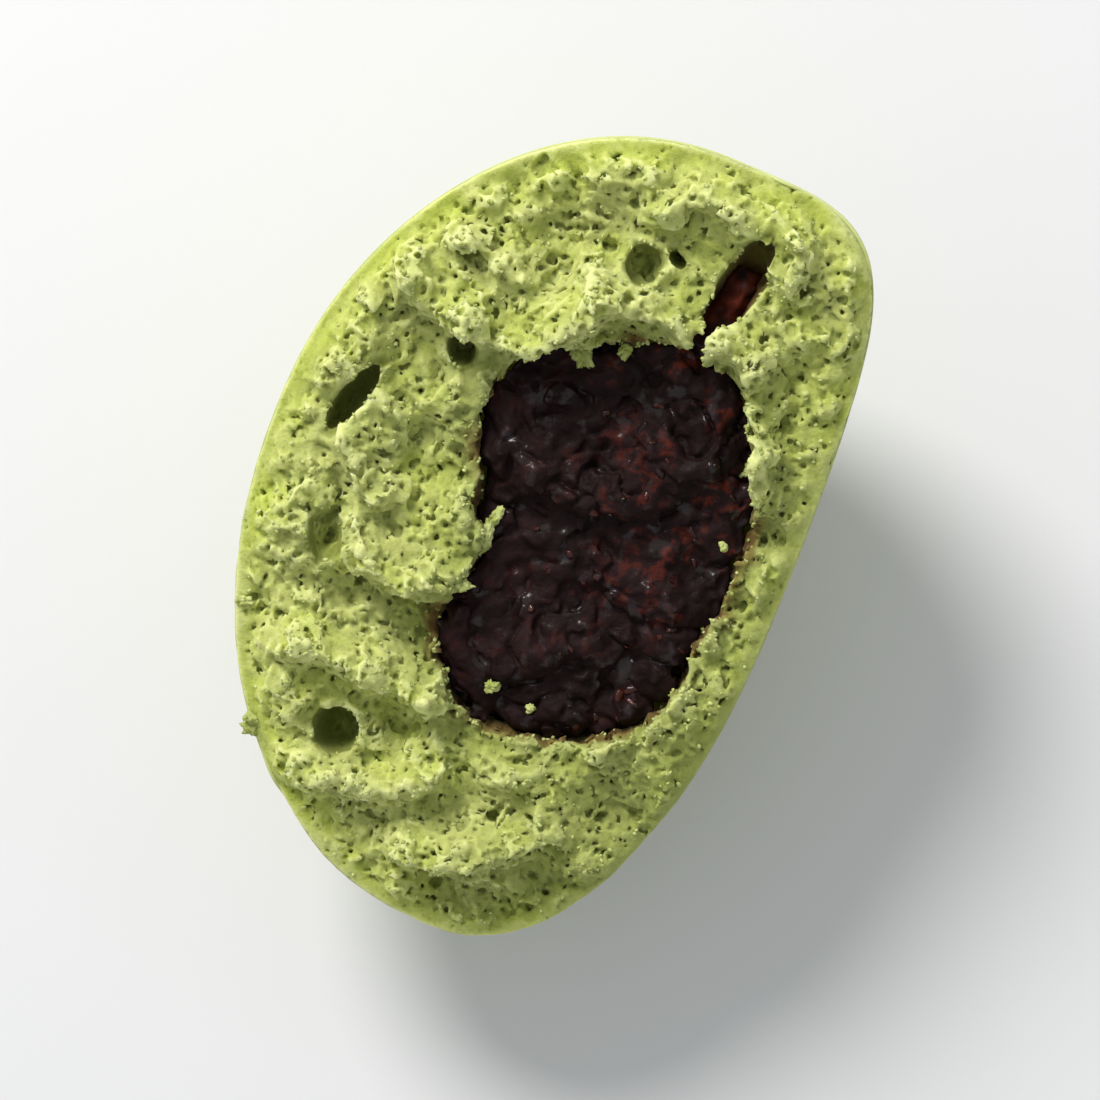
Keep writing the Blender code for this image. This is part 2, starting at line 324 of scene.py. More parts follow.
class ShapeTree(Tree):
    """A Geometry Nodes tree with named inputs, run once on a mesh."""

    def __init__(self, name: str, inputs: dict[str, Any]) -> None:
        """Makes the tree and its named inputs.

        Args:
            name: The tree's name.
            inputs: Each further input's name with its value, which may be a number, a vector or an object.
        """
        super().__init__(bpy.data.node_groups.new(name, "GeometryNodeTree"))
        self.inputs = inputs
        sockets = self.owner.interface
        sockets.new_socket("Geometry", in_out="INPUT", socket_type="NodeSocketGeometry")
        sockets.new_socket("Geometry", in_out="OUTPUT", socket_type="NodeSocketGeometry")
        for label, value in inputs.items():
            sockets.new_socket(label, in_out="INPUT", socket_type=self.socket_type(value))
        self.entry = self.node("NodeGroupInput", {}, {})

    @staticmethod
    def socket_type(value: Any) -> str:
        """Blender's name for the type of socket that takes a value."""
        if isinstance(value, bpy.types.Object):
            return "NodeSocketObject"
        if isinstance(value, int):
            return "NodeSocketInt"
        return "NodeSocketFloat" if isinstance(value, float) else "NodeSocketVector"

    def given(self, label: str) -> Term:
        """One of the tree's named inputs."""
        return Term(self, self.entry.outputs[label])

    def shape_of(self, label: str) -> Term:
        """The shape of an object that is given as a named input."""
        settings = {"transform_space": "ORIGINAL"}
        return self.term("GeometryNodeObjectInfo", settings, {"Object": self.given(label)}, "Geometry")

    def gap(self, shape: Term, place: Term) -> Term:
        """How far a place is from a shape."""
        sockets = {"Geometry": shape, "Sample Position": place}
        return self.term("GeometryNodeProximity", {"target_element": "FACES"}, sockets, "Distance")

    def within(self, shape: Term, place: Term) -> Term:
        """How far a place lies inside a round shape about the origin, along the line from there.

        Args:
            shape: The shape.
            place: The place.

        Returns:
            The distance in metres, less than 0 outside the shape.
        """
        sockets = {
            "Target Geometry": shape,
            "Source Position": self.term("FunctionNodeInputVector", {"vector": (0.0, 0.0, 0.0)}, {}),
            "Ray Direction": self.vector("NORMALIZE", place),
            "Ray Length": 1.0,
        }
        reach = self.term("GeometryNodeRaycast", {}, sockets, "Hit Distance")
        return reach - self.vector("LENGTH", place, output="Value")

    def outside(self, shape: Term, place: Term) -> Term:
        """How far a place lies outside a smooth shape, and less than 0 inside it.

        Args:
            shape: The shape, whose faces point out.
            place: The place.

        Returns:
            The signed distance in metres.
        """
        sockets = {"Geometry": shape, "Sample Position": place}
        nearest = self.term("GeometryNodeProximity", {"target_element": "FACES"}, sockets, "Position")
        normal = self.term("GeometryNodeInputNormal", {}, {})
        sockets = {"Mesh": shape, "Value": normal, "Sample Position": place}
        settings = {"data_type": "FLOAT_VECTOR"}
        outward = self.term("GeometryNodeSampleNearestSurface", settings, sockets)
        return self.vector("DOT_PRODUCT", self.vector("SUBTRACT", place, nearest), outward, output="Value")

    def in_oval(
        self, place: Term, middle: Vector, half: tuple[float, float, float], bearing_deg: float
    ) -> Term:
        """How far a place lies inside an oval body, roughly, and less than 0 outside it.

        Args:
            place: The place.
            middle: The body's middle.
            half: Its half sizes along its own axes.
            bearing_deg: How far it is turned from X towards Y.

        Returns:
            The distance in metres.
        """
        offset = self.vector("SUBTRACT", place, tuple(middle))
        settings = {"rotation_type": "Z_AXIS"}
        sockets = {"Vector": offset, "Angle": math.radians(-bearing_deg)}
        turned = self.term("ShaderNodeVectorRotate", settings, sockets)
        share = self.vector("LENGTH", self.vector("DIVIDE", turned, half), output="Value")
        return (1 - share) * half[1]

    def skinned(self, solid: Term, blur: float) -> Term:
        """The surface of a solid that is given as a field.

        Args:
            solid: How far a place is outside the solid, less than 0 inside it.
            blur: The distance over which the field runs from full to empty.

        Returns:
            The surface as a mesh.
        """
        density = (0.5 - solid / blur).held()
        sockets = {
            "Density": density,
            "Min": self.given("Low corner"),
            "Max": self.given("High corner"),
            "Resolution X": self.given("Columns"),
            "Resolution Y": self.given("Rows"),
            "Resolution Z": self.given("Layers"),
        }
        volume = self.term("GeometryNodeVolumeCube", {}, sockets)
        sockets = {"Volume": volume, "Threshold": 0.5}
        return self.term("GeometryNodeVolumeToMesh", {"resolution_mode": "GRID"}, sockets)

    def without(self, shape: Term, chosen: Term) -> Term:
        """A shape without its chosen points."""
        settings = {"domain": "POINT"}
        return self.term("GeometryNodeDeleteGeometry", settings, {"Geometry": shape, "Selection": chosen})

    def largest_piece(self, shape: Term) -> Term:
        """The largest connected piece of a shape, without shut bubbles and loose scraps."""
        island = self.term("GeometryNodeInputMeshIsland", {}, {}, "Island Index")
        sockets = {"Value": 1.0, "Group ID": island}
        count = self.term("GeometryNodeAccumulateField", {"domain": "POINT"}, sockets, "Total")
        most = self.term("GeometryNodeAttributeStatistic", {}, {"Geometry": shape, "Attribute": count}, "Max")
        return self.without(shape, (most - 0.5).over(count))

    def standing_out(self, steps: int) -> Term:
        """How far a surface stands out of its own softened form, which is less than 0 in a pit.

        Args:
            steps: How many times the form is softened.

        Returns:
            The distance in metres.
        """
        place = self.term("GeometryNodeInputPosition", {}, {})
        sockets = {"Value": place, "Iterations": steps}
        soft = self.term("GeometryNodeBlurAttribute", {"data_type": "FLOAT_VECTOR"}, sockets)
        normal = self.term("GeometryNodeInputNormal", {}, {})
        return self.vector("DOT_PRODUCT", self.vector("SUBTRACT", place, soft), normal, output="Value")

    def marked(self, shape: Term, mark: Mark, value: Term) -> Term:
        """A shape that keeps a value on its points."""
        sockets = {"Geometry": shape, "Name": mark.value, "Value": value}
        return self.term("GeometryNodeStoreNamedAttribute", {}, sockets)

    def run(self, base: bpy.types.Mesh, shape: Term, material: bpy.types.Material) -> bpy.types.Mesh:
        """Ends the tree, runs it on a mesh and gives the result as a plain mesh.

        Args:
            base: The mesh that the tree starts from.
            shape: The shape that it ends in.
            material: The finish of the result.

        Returns:
            The result.
        """
        real = self.term("GeometryNodeRealizeInstances", {}, {"Geometry": shape})
        smooth = self.term("GeometryNodeSetShadeSmooth", {}, {"Geometry": real})
        dressed = self.term("GeometryNodeSetMaterial", {}, {"Geometry": smooth, "Material": material})
        self.node("NodeGroupOutput", {}, {0: dressed})
        carrier = stand_in("carrier", base)
        modifier = carrier.modifiers.new("shape", "NODES")
        modifier.node_group = self.owner
        for item in self.owner.interface.items_tree:
            if item.in_out == "INPUT" and item.name in self.inputs:
                modifier[item.identifier] = self.inputs[item.name]
        graph = bpy.context.evaluated_depsgraph_get()
        evaluated = carrier.evaluated_get(graph)
        result = bpy.data.meshes.new_from_object(evaluated, preserve_all_data_layers=True, depsgraph=graph)
        bpy.data.objects.remove(carrier)
        bpy.data.node_groups.remove(self.owner)
        return result


def grid_inputs(
    low: tuple[float, float, float], high: tuple[float, float, float], voxel: float
) -> dict[str, Any]:
    """The named inputs of a tree that makes its solid in a grid.

    Args:
        low: The grid's lowest corner.
        high: Its highest corner.
        voxel: The size of its cells.

    Returns:
        The inputs.
    """
    counts = [int((end - start) / voxel) for start, end in zip(low, high)]
    corners = {"Low corner": low, "High corner": high}
    return corners | dict(zip(("Columns", "Rows", "Layers"), counts))


def thinned(mesh: bpy.types.Mesh, most: int) -> bpy.types.Mesh:
    """A mesh with fewer triangles, taken where it is smoothest.

    Args:
        mesh: The mesh.
        most: How many triangles it may keep.

    Returns:
        The same mesh where it has no more than that, and otherwise a new one.
    """
    mesh.calc_loop_triangles()
    count = len(mesh.loop_triangles)
    if count <= most:
        return mesh
    carrier = stand_in("carrier", mesh)
    modifier = carrier.modifiers.new("thin", "DECIMATE")
    modifier.ratio = most / count
    graph = bpy.context.evaluated_depsgraph_get()
    result = bpy.data.meshes.new_from_object(
        carrier.evaluated_get(graph), preserve_all_data_layers=True, depsgraph=graph
    )
    bpy.data.objects.remove(carrier)
    return result


def stand_in(name: str, mesh: bpy.types.Mesh) -> bpy.types.Object:
    """An object that only helps to make others, and is removed again.

    Args:
        name: Its name.
        mesh: Its mesh.

    Returns:
        The object, in the scene.
    """
    made = bpy.data.objects.new(name, mesh)
    bpy.context.scene.collection.objects.link(made)
    return made


def srgb(red: int, green: int, blue: int) -> Colour:
    """A colour as a screen gives it, from 0 to 255, in the linear values that a shader takes."""
    shares = [value / 255 for value in (red, green, blue)]
    linear = [share / 12.92 if share <= 0.04045 else ((share + 0.055) / 1.055) ** 2.4 for share in shares]
    return linear[0], linear[1], linear[2], 1.0


def soft_noise(place: Vector, length: float, seed: float) -> float:
    """Smooth noise from about -1 to 1 with features of that length."""
    return noise.noise(place / length + Vector((seed, 2.3 * seed, 0.7 * seed)))


@dataclass(frozen=True)
class Lie:
    """How the half lies. Its tear frame has X up along the torn face, Y towards the crown and Z out of it."""

    view_height_deg: float = 85.0
    roll_deg: float = 21.5
    lean_deg: float = 14.0
    middle: tuple[float, float, float] = (2.883 * MM, -1.613 * MM, 38.380 * MM)

    def to_world(self) -> Matrix:
        """The matrix that takes the tear frame to the world."""
        view, roll, lean = (math.radians(a) for a in (self.view_height_deg, self.roll_deg, self.lean_deg))
        to_camera = Vector((0, -math.cos(view), math.sin(view)))
        picture_up = Vector((0, math.sin(view), math.cos(view)))
        picture_right = Vector((1, 0, 0))
        seen_x = picture_right * math.sin(roll) + picture_up * math.cos(roll)
        along_y = picture_up * math.sin(roll) - picture_right * math.cos(roll)
        along_x = seen_x * math.cos(lean) + to_camera * math.sin(lean)
        along_z = to_camera * math.cos(lean) - seen_x * math.sin(lean)
        turn = Matrix((along_x, along_y, along_z)).transposed().to_4x4()
        return Matrix.Translation(Vector(self.middle)) @ turn

    def from_world(self) -> Matrix:
        """The matrix that takes the world to the tear frame."""
        return self.to_world().inverted()

    def down(self) -> Vector:
        """The world's downward direction in the tear frame."""
        return self.from_world().to_3x3() @ Vector((0, 0, -1))


@dataclass(frozen=True)
class BunForm:
    """The form of the whole bun, measured from the middle of its torn face."""

    half_length: float = 43.2 * MM
    half_depth: float = 41.0 * MM
    crown_rise: float = 34.1 * MM
    base_drop: float = 20.9 * MM
    crown_fullness: float = 2.06
    base_fullness_lower: float = 2.15
    base_fullness_upper: float = 4.4
    wave: float = 0.9 * MM
    wave_length: float = 30 * MM
    wave_seed: float = 5
    rest_sink: float = 2.2 * MM
    rest_blend: float = 0.3 * MM

    def corner(self, across: float) -> float:
        """How square the base's corner is, from the lower end, across -1, to the upper end, across 1."""
        share = (1 + across) / 2
        return self.base_fullness_lower + (self.base_fullness_upper - self.base_fullness_lower) * share

    def reach(self, direction: Vector) -> float:
        """How far the skin is from the middle in a direction, without its waves."""
        flat = math.hypot(direction.x, direction.z)
        across = direction.x / flat if flat else 0.0
        plan = math.hypot(direction.x / self.half_length, direction.z / self.half_depth)
        crown = direction.y > 0
        rise = self.crown_rise if crown else self.base_drop
        power = self.crown_fullness if crown else self.corner(across)
        return (plan**power + (abs(direction.y) / rise) ** power) ** (-1 / power)

    def skin_point(self, direction: Vector) -> Vector:
        """Where the skin lies in a direction from the middle of the bun."""
        point = direction * self.reach(direction)
        return point + direction * self.wave * soft_noise(point, self.wave_length, self.wave_seed)

    def depth_under_skin(self, place: Vector) -> float:
        """How far a place lies inside the skin, along the line from the middle."""
        return self.skin_point(place.normalized()).length - place.length


class TornSolids:
    """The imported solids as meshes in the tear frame, to measure and grow the looks from."""

    soften_steps = 14
    ledge_gain = 0.7
    most_raised = 0.8 * MM
    free_reach = 2.5 * MM
    weld_reach = 0.001 * MM
    skin_depth = 0.4 * MM
    skin_slope = 0.45
    deep_wall_top = -3.4 * MM
    deep_wall_gap = 0.7 * MM

    def __init__(self, lie: Lie, form: BunForm) -> None:
        """Reads both solids.

        Args:
            lie: How the half lies.
            form: The bun's form.
        """
        self.lie = lie
        self.form = form
        self.paste = self.welded(Solid.PASTE)
        self.paste_gap = BVHTree.FromPolygons(*self.polygons(self.paste))
        self.torn = self.torn_sheet(self.welded(Solid.DOUGH))
        self.sheet_below = BVHTree.FromPolygons(*self.polygons(self.torn))

    def welded(self, solid: Solid) -> bpy.types.Mesh:
        """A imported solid's mesh in the tear frame, with its corners joined."""
        shape = bmesh.new()
        shape.from_mesh(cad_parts[solid.value].data)
        bmesh.ops.remove_doubles(shape, verts=shape.verts, dist=self.weld_reach)
        bmesh.ops.transform(shape, matrix=self.lie.from_world(), verts=shape.verts)
        mesh = bpy.data.meshes.new(solid.value + "_form")
        shape.to_mesh(mesh)
        shape.free()
        mesh.shade_smooth()
        return mesh

    @staticmethod
    def polygons(mesh: bpy.types.Mesh) -> tuple[list[Vector], list[list[int]]]:
        """A mesh's points and faces, as a distance tree takes them."""
        return [vertex.co.copy() for vertex in mesh.vertices], [list(face.vertices) for face in mesh.polygons]

    def torn_sheet(self, mesh: bpy.types.Mesh) -> bpy.types.Mesh:
        """The torn face of the dough alone, without the skin and the deep walls round the paste."""
        shape = bmesh.new()
        shape.from_mesh(mesh)
        dropped = [face for face in shape.faces if self.is_skin(face) or self.is_deep_wall(face)]
        bmesh.ops.delete(shape, geom=dropped, context="FACES")
        self.sharpen(shape)
        shape.to_mesh(mesh)
        shape.free()
        return mesh

    def sharpen(self, shape: bmesh.types.BMesh) -> None:
        """Raises the ledges of the torn face and deepens what lies between them.

        Args:
            shape: The torn face, whose points are moved.
        """
        heights = {vertex: vertex.co.z for vertex in shape.verts}
        around = {vertex: [edge.other_vert(vertex) for edge in vertex.link_edges] for vertex in shape.verts}
        for _ in range(self.soften_steps):
            heights = {
                vertex: sum(heights[near] for near in nearby) / len(nearby) if nearby else heights[vertex]
                for vertex, nearby in around.items()
            }
        for vertex, soft in heights.items():
            free = min(1.0, self.paste_gap.find_nearest(vertex.co)[3] / self.free_reach)
            free *= min(1.0, self.form.depth_under_skin(vertex.co) / self.free_reach)
            raised = self.ledge_gain * free * (vertex.co.z - soft)
            vertex.co.z += max(-self.most_raised, min(self.most_raised, raised))

    def is_skin(self, face: bmesh.types.BMFace) -> bool:
        """Whether a face of the dough lies on the bun's outer skin."""
        middle = face.calc_center_median()
        return self.form.depth_under_skin(middle) < self.skin_depth and face.normal.z < self.skin_slope

    def is_deep_wall(self, face: bmesh.types.BMFace) -> bool:
        """Whether a face of the dough is hidden by the paste."""
        middle = face.calc_center_median()
        nearest = self.paste_gap.find_nearest(middle)
        return middle.z < self.deep_wall_top and nearest[3] < self.deep_wall_gap

    def torn_height(self, x: float, y: float, missing: float) -> float:
        """The torn face's height at a place, or a stand-in value where there is none."""
        start = Vector((x, y, self.form.half_depth))
        hit = self.sheet_below.ray_cast(start, Vector((0, 0, -1)))[0]
        return hit.z if hit else missing


@dataclass(frozen=True)
class GasHole:
    """A gas hole that the tear opened, sunk below the torn face and turned from X towards Y."""

    x: float
    y: float
    below: float
    half_long: float
    half_short: float
    half_deep: float
    bearing_deg: float
    looks_round: int = 8
    look_reach: float = 1.35

    def middle(self, solids: TornSolids) -> Vector:
        """Where the hole's middle lies, below the torn face round it."""
        reach = self.look_reach * self.half_long
        turns = [math.tau * k / self.looks_round for k in range(self.looks_round)]
        round_it = [
            solids.torn_height(self.x + reach * math.cos(turn), self.y + reach * math.sin(turn), 0.0)
            for turn in turns
        ]
        return Vector((self.x, self.y, sum(round_it) / len(round_it) - self.below))


TUNNEL = GasHole(31.2 * MM, -5.1 * MM, 0.8 * MM, 7.4 * MM, 2.1 * MM, 3.6 * MM, -10)


@dataclass(frozen=True)
class Smear:
    """The paste that was pressed up into the lower end of the tunnel."""

    offset: tuple[float, float, float] = (-4.9 * MM, 0.5 * MM, -3.1 * MM)
    half: tuple[float, float, float] = (7.0 * MM, 2.6 * MM, 2.3 * MM)
    bearing_deg: float = -10

    def inside(self, tree: "ShapeTree", place: Term, solids: TornSolids) -> Term:
        """How far a place lies inside the smear."""
        middle = TUNNEL.middle(solids) + Vector(self.offset)
        return tree.in_oval(place, middle, self.half, self.bearing_deg)


class Piece:
    """What every dressed piece shares: it rides on the body."""

    @staticmethod
    def place(
        name: str, mesh: bpy.types.Mesh, slot: Slot, lie: Lie, stands_for: Solid | None = None
    ) -> bpy.types.Object:
        """Puts a mesh of the tear frame into the world as a piece of the object.

        Args:
            name: The piece's name.
            mesh: Its mesh in the tear frame.
            slot: The material slot that its finish belongs to; not used.
            lie: How the half lies.
            stands_for: The solid that it replaces, if any.

        Returns:
            The piece.
        """
        mesh.transform(lie.to_world())
        mesh.name = name
        piece = stand_in(name, mesh)
        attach(piece, BODY)
        if stands_for:
            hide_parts(stands_for.value)
        log.info("%s: %d faces", name, len(mesh.polygons))
        return piece


def principled(tree: Tree, sockets: dict[str, Any]) -> None:
    """Ends a finish's tree in a Principled shader.

    Args:
        tree: The tree of a new material.
        sockets: Values or terms for the shader's sockets.
    """
    shader = tree.term("ShaderNodeBsdfPrincipled", {}, sockets)
    tree.node("ShaderNodeOutputMaterial", {}, {"Surface": shader})


def relief(tree: Tree, height: Term, strength: float, distance: float) -> Term:
    """A normal that stands for relief too fine for the mesh.

    Args:
        tree: The finish's tree.
        height: The relief's height, of about 1.
        strength: How much of it shows.
        distance: How far a height of 1 stands out, in metres.

    Returns:
        The normal.
    """
    sockets = {"Strength": strength, "Distance": distance, "Height": height}
    return tree.term("ShaderNodeBump", {}, sockets, "Normal")


def new_finish(name: str) -> tuple[bpy.types.Material, Tree]:
    """A material with an empty tree, and the tree."""
    material = bpy.data.materials.new(name)
    material.use_nodes = True
    material.node_tree.nodes.clear()
    return material, Tree(material.node_tree)


def object_place(tree: Tree) -> Term:
    """Where a point lies on the piece."""
    return tree.term("ShaderNodeTexCoord", {}, {}, "Object")


def mark_value(tree: Tree, mark: Mark) -> Term:
    """A value that the mesh keeps on its points."""
    return tree.term("ShaderNodeAttribute", {"attribute_name": mark.value}, {}, "Fac")


@dataclass(frozen=True)
class CrumbFinish:
    """The open crumb: soft yellow green, with painted highlight on its tips and ledges, painted shade in its
    pores, dips and gas holes, towards the base side and on its slope down to the paste, and stained brown
    beside the paste.
    """

    body: Colour = srgb(180, 186, 110)
    fresh: Colour = srgb(174, 185, 82)
    # pale: painted highlight on the tips and ledge crests, and also the sheen's tint
    pale: Colour = srgb(212, 217, 148)
    # deep: painted shade in dips, under the ledges and in the finest pores
    deep: Colour = srgb(112, 122, 40)
    # painted shade: the darker green laid towards the base side and on the slope down to the paste
    painted_shade: Colour = srgb(126, 135, 68)
    # hollow: painted shade on the walls of the gas holes
    hollow: Colour = srgb(96, 104, 32)
    stain: Colour = srgb(106, 70, 34)
    soaked: Colour = srgb(54, 24, 14)
    grain: float = 0.42 * MM
    pit_spacing: float = 0.6 * MM
    pit_radius: float = 0.3 * MM

    def material(self) -> bpy.types.Material:
        """Makes the finish."""
        material, tree = new_finish("green_crumb")
        place = object_place(tree)
        tip = mark_value(tree, Mark.TIP)
        swell = mark_value(tree, Mark.SWELL)
        near_rim = 1 - mark_value(tree, Mark.RIM).eased(1.5 * MM, 5.5 * MM)
        patches = tree.noise(place, 6 * MM, 3.0).eased(0.42, 0.62)
        colour = tree.mixed((patches * 0.6 + near_rim * 0.5).held(), self.body, self.fresh)
        # Painted shade: darker towards the base side; moist adds painted shade on the slope down to the
        # paste.
        painted_shade = tree.vector("DOT_PRODUCT", place, TO_BASE, output="Value").eased(4 * MM, 34 * MM)
        moist = 1 - mark_value(tree, Mark.STAIN_AND_SHADE).eased(0.5 * MM, 6 * MM)
        painted_shade = painted_shade.larger(moist)
        colour = tree.mixed(painted_shade * 0.85, colour, self.painted_shade)
        # Painted highlight: pale on the tips and ledge crests that stand out, with random flecks of pale
        # tone, and less of it where the painted shade lies.
        flecks = (tree.noise(place, 0.6 * MM, 3.0) - 0.5) * 0.45
        raised = tip.eased(-0.02 * MM, 0.2 * MM) * 0.15 + swell.eased(0.1 * MM, 1.1 * MM) + flecks
        colour = tree.mixed(raised.held() * (1 - painted_shade * 0.85), colour, self.pale)
        # Painted shade: deep green in dips and under the ledges, and in the finest pores (pits).
        sunk_shade = (0.0 - tip).eased(0.04 * MM, 0.24 * MM) * 0.2 + (0.0 - swell).eased(0.1 * MM, 1.2 * MM) * 0.6
        walls = mark_value(tree, Mark.HOLE).eased(-0.5 * MM, -0.1 * MM)
        pits = self.pits(tree, place) * (1 - walls) * (1 - raised.held() * 0.6)
        colour = tree.mixed((sunk_shade + pits * 0.3).held(), colour, self.deep)
        # Painted shade on the walls of the gas holes.
        colour = tree.mixed(walls * (1 - raised.held()) * 0.8, colour, self.hollow)
        ragged = mark_value(tree, Mark.STAIN_AND_SHADE) + (tree.noise(place, 3.0 * MM, 3.0) - 0.5) * (3.4 * MM)
        colour = tree.mixed((1 - ragged.eased(0.2 * MM, 2.2 * MM)) * 0.8, colour, self.stain)
        colour = tree.mixed((1 - ragged.eased(-0.4 * MM, 1.0 * MM)) * 0.9, colour, self.soaked)
        height = tree.noise(place, self.grain, 3.0, Roughness=0.72) * (1.6 - walls)
        principled(
            tree,
            {
                "Base Color": colour,
                "Roughness": 0.85,
                "Specular IOR Level": 0.12,
                "Sheen Weight": 0.2,
                "Sheen Roughness": 0.6,
                "Sheen Tint": self.pale,
                "Subsurface Weight": 0.7,
                "Subsurface Radius": (1.0, 0.94, 0.45),
                "Subsurface Scale": 1.5 * MM,
                "Normal": relief(tree, height, 0.75, 0.2 * MM),
            },
        )
        return material

    def pits(self, tree: Tree, place: Term) -> Term:
        """The finest pores, 1 in a pore and 0 between pores."""
        bent = tree.shift(place, 0.5 * self.pit_spacing, 0.7 * self.pit_spacing, 2.0)
        distance, random = tree.cells(bent, self.pit_spacing)
        radius = random * self.pit_radius
        return (radius - distance).eased(-0.05 * MM, 0.12 * MM)


@dataclass(frozen=True)
class BitsFinish:
    """The tiny flakes: the palest of the crumb's colours, since light goes right through them."""

    pale: Colour = srgb(198, 205, 132)
    green: Colour = srgb(164, 173, 94)

    def material(self) -> bpy.types.Material:
        """Makes the finish."""
        material, tree = new_finish("pale_flakes")
        place = object_place(tree)
        share = tree.noise(place, 2.5 * MM, 3.0).eased(0.4, 0.6)
        height = tree.noise(place, 0.35 * MM, 4.0, Roughness=0.7)
        principled(
            tree,
            {
                "Base Color": tree.mixed(share, self.pale, self.green),
                "Roughness": 0.9,
                "Specular IOR Level": 0.02,
                "Normal": relief(tree, height, 0.8, 0.2 * MM),
            },
        )
        return material


@dataclass(frozen=True)
class SkinFinish:
    """The steamed skin: smooth, matt and pale yellow green, with faint mottling and a few dark specks."""

    body: Colour = srgb(178, 187, 108)
    pale: Colour = srgb(196, 203, 136)
    dull: Colour = srgb(154, 163, 82)
    speck: Colour = srgb(66, 78, 32)

    def material(self) -> bpy.types.Material:
        """Makes the finish."""
        material, tree = new_finish("green_skin")
        place = object_place(tree)
        colour = tree.mixed(tree.noise(place, 14 * MM, 4.0).eased(0.35, 0.7) * 0.8, self.body, self.pale)
        colour = tree.mixed(tree.noise(place, 4.0 * MM, 5.0).eased(0.45, 0.8) * 0.3, colour, self.dull)
        colour = tree.mixed(tree.noise(place, 0.7 * MM, 3.0).eased(0.5, 0.7) * 0.2, colour, self.pale)
        base = tree.vector("DOT_PRODUCT", place, TO_BASE, output="Value").eased(17 * MM, 27 * MM)
        worn = tree.noise(place, 1.6 * MM, 4.0).eased(0.3, 0.7)
        colour = tree.mixed(base * (worn * 0.4 + 0.3), colour, self.dull)
        distance, random = tree.cells(place, 3.2 * MM)
        speck = (1 - distance.eased(0.06 * MM, 0.28 * MM)) * random.over(0.66)
        colour = tree.mixed(speck * 0.75, colour, self.speck)
        dimples = tree.noise(place, 1.1 * MM, 4.0, Roughness=0.6) + tree.noise(place, 6 * MM, 2.0) * 3.0
        principled(
            tree,
            {
                "Base Color": colour,
                "Roughness": 0.58,
                "Specular IOR Level": 0.3,
                "Subsurface Weight": 0.35,
                "Subsurface Radius": (1.0, 0.9, 0.4),
                "Subsurface Scale": 1.0 * MM,
                "Normal": relief(tree, dimples, 0.35, 0.12 * MM),
            },
        )
        return material


@dataclass(frozen=True)
class PasteFinish:
    """The bean paste: near black with a purple and a rusty cast, moist, with small glints."""

    body: Colour = srgb(25, 11, 10)
    purple: Colour = srgb(34, 18, 19)
    rust: Colour = srgb(94, 34, 18)

    def material(self) -> bpy.types.Material:
        """Makes the finish."""
        material, tree = new_finish("dark_bean_paste")
        place = object_place(tree)
        colour = tree.mixed(tree.noise(place, 6 * MM, 3.0).eased(0.42, 0.66), self.body, self.purple)
        streaks = self.streaks(tree, place)
        patchy = tree.noise(place, 1.6 * MM, 4.0).eased(0.3, 0.7)
        thin_smear = tree.axis(place, "Y").eased(19 * MM, 23 * MM) * patchy
        colour = tree.mixed((streaks * 0.7).larger(thin_smear * 0.75), colour, self.rust)
        height = tree.noise(place, 0.8 * MM, 4.0, Roughness=0.7)
        roughness = 0.7 - tree.noise(place, 1.3 * MM, 3.0).eased(0.5, 0.7) * 0.3
        moist = tree.noise(place, 2.2 * MM, 3.0).eased(0.56, 0.68)
        principled(
            tree,
            {
                "Base Color": colour,
                "Roughness": roughness,
                "Specular IOR Level": 0.12,
                "Coat Weight": moist * 0.6,
                "Coat Roughness": 0.22,
                "Normal": relief(tree, height, 0.7, 0.25 * MM),
            },
        )
        return material

    @staticmethod
    def streaks(tree: Tree, place: Term) -> Term:
        """Rusty streaks of crushed bean skin, more of them towards the base than towards the crown."""
        reach = tree.axis(place, "X").eased(-4 * MM, 18 * MM) * tree.axis(place, "Y").eased(-16 * MM, -4 * MM)
        broad = tree.noise(place, 6 * MM, 2.0).eased(0.44, 0.58)
        fine = tree.noise(tree.shift(place, 3 * MM, 2 * MM), 1.6 * MM, 5.0, Roughness=0.6)
        return fine.eased(0.48, 0.64) * broad * (reach * 0.85 + 0.15)


@dataclass(frozen=True)
class BeanSkinFinish:
    """The crushed bean skins: rusty red brown and moist."""

    red: Colour = srgb(62, 22, 13)
    dark: Colour = srgb(30, 12, 9)

    def material(self) -> bpy.types.Material:
        """Makes the finish."""
        material, tree = new_finish("bean_skin")
        share = tree.noise(object_place(tree), 2.6 * MM, 3.0).eased(0.42, 0.6)
        principled(
            tree,
            {
                "Base Color": tree.mixed(share, self.red, self.dark),
                "Roughness": 0.4,
                "Specular IOR Level": 0.15,
                "Coat Weight": 0.35,
                "Coat Roughness": 0.15,
            },
        )
        return material


@dataclass(frozen=True)
class FloorFinish:
    """The studio floor: a plain pale matt sheet."""

    shade: Colour = (0.68, 0.68, 0.685, 1.0)

    def material(self) -> bpy.types.Material:
        """Makes the finish."""
        material, tree = new_finish("pale_floor")
        principled(tree, {"Base Color": self.shade, "Roughness": 0.9})
        return material


